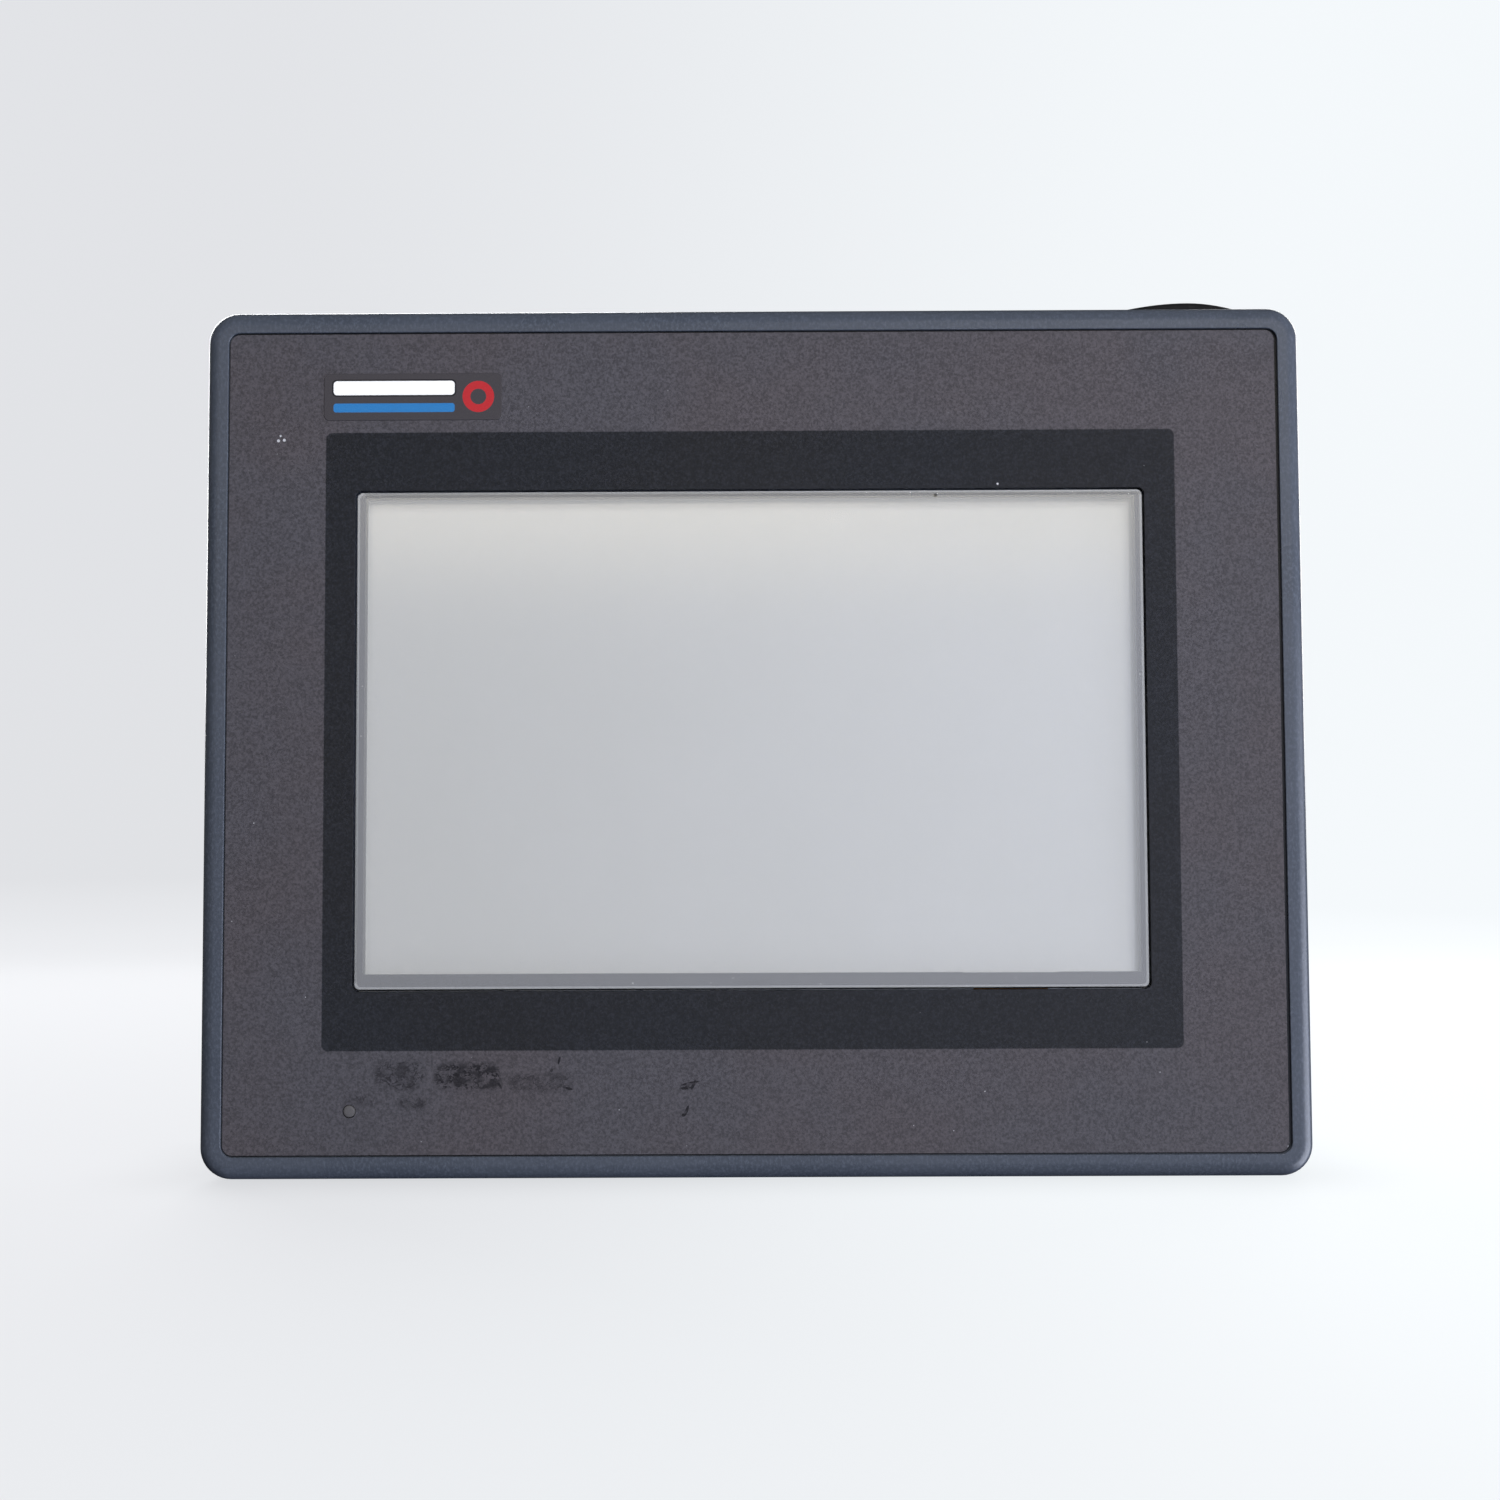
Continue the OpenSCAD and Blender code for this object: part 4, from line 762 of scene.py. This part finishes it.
SLOT_OF = {part["node"]: part["material_slot"] for part in frame["record"]["subparts"]}
SOFT_EDGES = {
    "rear_cover": 0.35, "expansion_cover": 0.2,
    "tool_connector": 0.15, "printer_connector": 0.15, "terminal_block": 0.2, "terminal_cover": 0.12,
    "cover_screws": 0.12, "reset_button": 0.15, "dip_switch_body": 0.12, "terminal_contacts": 0.1,
    "rating_label": 0.05,
}
for kind in ("dip_slider", "terminal_screw", "terminal_washer"):
    for number in range(1, 5):
        SOFT_EDGES[f"{kind}_{number}"] = 0.12
for node in frame["nodes"]:
    dress(node, SLOT_OF[node], SOFT_EDGES.get(node, 0.0))


# ---------------------------------------------------------------- stage, light and camera

def make_bowl(floor_z, flat_r=1.3, bend_r=0.9, wall=1.6):
    """A pale floor that curves up into a wall all round."""
    profile = [(0.02, floor_z), (0.3, floor_z), (flat_r, floor_z)]
    for k in range(1, 13):
        a = math.radians(90 * k / 12)
        profile.append((flat_r + bend_r * math.sin(a), floor_z + bend_r * (1 - math.cos(a))))
    profile.append((flat_r + bend_r, floor_z + bend_r + wall))
    bm = bmesh.new()
    sides = 96
    turns = [2 * math.pi * k / sides for k in range(sides)]
    rows = [[bm.verts.new((r * math.cos(a), r * math.sin(a), z)) for a in turns] for r, z in profile]
    for a, b in zip(rows, rows[1:]):
        for i in range(sides):
            j = (i + 1) % sides
            bm.faces.new((a[i], a[j], b[j], b[i]))
    bm.faces.new(rows[0])
    bmesh.ops.recalc_face_normals(bm, faces=bm.faces)
    for face in bm.faces:
        face.smooth = True
    mesh = bpy.data.meshes.new("stage_floor")
    bm.to_mesh(mesh)
    bm.free()
    p = Paint("stage_floor", Specular_IOR_Level=0.1, Roughness=0.9)
    p.shader.inputs["Base Color"].default_value = (0.02, 0.02, 0.02, 1)
    flat = p.add("ShaderNodeCombineXYZ", i0=p.xyz[0], i1=p.xyz[1]).outputs[0]
    far = p.add("ShaderNodeVectorMath", operation="LENGTH", i0=flat).outputs["Value"]
    # Painted shade: the self-lit floor is painted darker to the left and paler to the right, as if lit from
    # the right.
    side = p.math("DIVIDE", p.xyz[0], p.math("ADD", far, 250))
    pale = p.mix(p.step(side, -0.3, 0.3), (0.74, 0.75, 0.775, 1), (0.90, 0.935, 0.96, 1))
    # A soft shadow on the floor under the part, drawn here because the bowl gives its own light
    depth = COVER_HI.y - FRONT_Y - 10
    near = p.rectangle(0, (COVER_HI.y + FRONT_Y) / 2, BEZEL.x - 20, depth, 5, 38, 1)
    near = p.math("MULTIPLY", near, p.math("LESS_THAN", p.xyz[2], BEZEL_LO.z + 50))
    shadow = p.mix(p.math("MULTIPLY", near, 0.28), (1, 1, 1, 1), (0, 0, 0, 1))
    p.link(p.mix(1.0, pale, shadow, "MULTIPLY"), p.shader.inputs["Emission Color"])
    p.shader.inputs["Emission Strength"].default_value = 1.0
    mesh.materials.append(p.material)
    bowl = bpy.data.objects.new("stage_floor", mesh)
    scene.collection.objects.link(bowl)
    bowl.visible_diffuse = False
    bowl.visible_glossy = False
    bowl.visible_transmission = False
    bowl.visible_shadow = False


make_bowl(BEZEL_LO.z * MM)


def area_light(name, place, aim, size, power, colour, in_gloss=True):
    data = bpy.data.lights.new(name, "AREA")
    data.shape = "RECTANGLE"
    data.size, data.size_y = size
    data.energy = power
    data.color = colour
    lamp = bpy.data.objects.new(name, data)
    scene.collection.objects.link(lamp)
    lamp.location = place
    lamp.rotation_euler = (Vector(aim) - Vector(place)).to_track_quat("-Z", "Y").to_euler()
    lamp.visible_glossy = in_gloss


# The front light only fills: it is kept out of reflections, so that gloss shows the room
area_light("soft_front", (0.35, -0.9, 0.42), (0, 0, 0), (0.6, 0.4), 17.0, (1.0, 0.99, 1.0), False)
area_light("soft_back_left", (-0.55, 1.3, 0.55), (0, 0, 0), (0.9, 0.9), 24.0, (0.97, 0.98, 1.0))
area_light("soft_back_right", (0.7, 1.2, 0.4), (0, 0, 0), (0.7, 0.7), 9.0, (1.0, 0.98, 0.95))


def make_world():
    """Room light: a wall in front that is brighter to the right, with a bright band above it,
    darker below; a bright window to the right; dim overhead and behind."""
    world = bpy.data.worlds.new("room")
    scene.world = world
    world.use_nodes = True
    tree = world.node_tree
    tree.nodes.clear()

    def add(kind, **values):
        node = tree.nodes.new(kind)
        for key, value in values.items():
            if key[0] == "i" and key[1:].isdigit():
                if isinstance(value, bpy.types.NodeSocket):
                    tree.links.new(value, node.inputs[int(key[1:])])
                else:
                    node.inputs[int(key[1:])].default_value = value
            else:
                setattr(node, key, value)
        return node

    def step(value, low, high):
        return add("ShaderNodeMapRange", interpolation_type="SMOOTHSTEP", i0=value, i1=low, i2=high,
                   i3=0.0, i4=1.0).outputs[0]

    def blend(amount, a, b):
        node = add("ShaderNodeMix", data_type="RGBA")
        for socket, value in zip((node.inputs[0], node.inputs[6], node.inputs[7]), (amount, a, b)):
            if isinstance(value, bpy.types.NodeSocket):
                tree.links.new(value, socket)
            else:
                socket.default_value = value
        return node.outputs[2]

    way = add("ShaderNodeTexCoord").outputs["Generated"]
    x, y, z = add("ShaderNodeSeparateXYZ", i0=way).outputs
    sky = blend(step(z, -0.3, 0.0), (0.03, 0.035, 0.045, 1), (0.15, 0.16, 0.18, 1))
    sky = blend(step(z, 0.3, 0.7), sky, (0.05, 0.055, 0.05, 1))
    wall = blend(step(x, -0.25, 0.3), (0.2, 0.21, 0.25, 1), (0.85, 0.93, 1.2, 1))
    wall = blend(step(z, 0.125, 0.175), wall, (1.7, 1.55, 1.25, 1))
    wall = blend(step(z, 0.205, 0.25), wall, (0.10, 0.10, 0.09, 1))
    wall = blend(step(z, -0.12, -0.35), wall, (0.05, 0.06, 0.09, 1))
    sky = blend(step(y, -0.5, -0.9), sky, wall)
    window = step(x, 0.4, 0.65)
    for axis, low, high in ((z, 0.14, -0.12), (z, -0.85, -0.6), (y, -0.72, -0.5), (y, 0.4, 0.1)):
        window = add("ShaderNodeMath", operation="MULTIPLY", i0=window, i1=step(axis, low, high)).outputs[0]
    sky = blend(window, sky, (5.2, 5.5, 6.5, 1))
    sky = blend(step(y, 0.78, 0.92), sky, (0.03, 0.03, 0.03, 1))
    light = add("ShaderNodeBackground", i0=sky, i1=1.0)
    out = add("ShaderNodeOutputWorld")
    tree.links.new(light.outputs[0], out.inputs["Surface"])


make_world()


def make_camera():
    """Straight in front and a little low, so that the terminal's sides lean together upwards."""
    data = bpy.data.cameras.new("camera")
    data.sensor_width = 36
    data.lens = 52.68
    cam = bpy.data.objects.new("camera", data)
    scene.collection.objects.link(cam)
    cam.location = (0.0007, -0.42, -0.02815)
    cam.rotation_euler = tuple(math.radians(a) for a in (93.608, 0.239, 0.223))
    scene.camera = cam


make_camera()
scene.view_settings.view_transform = "Standard"
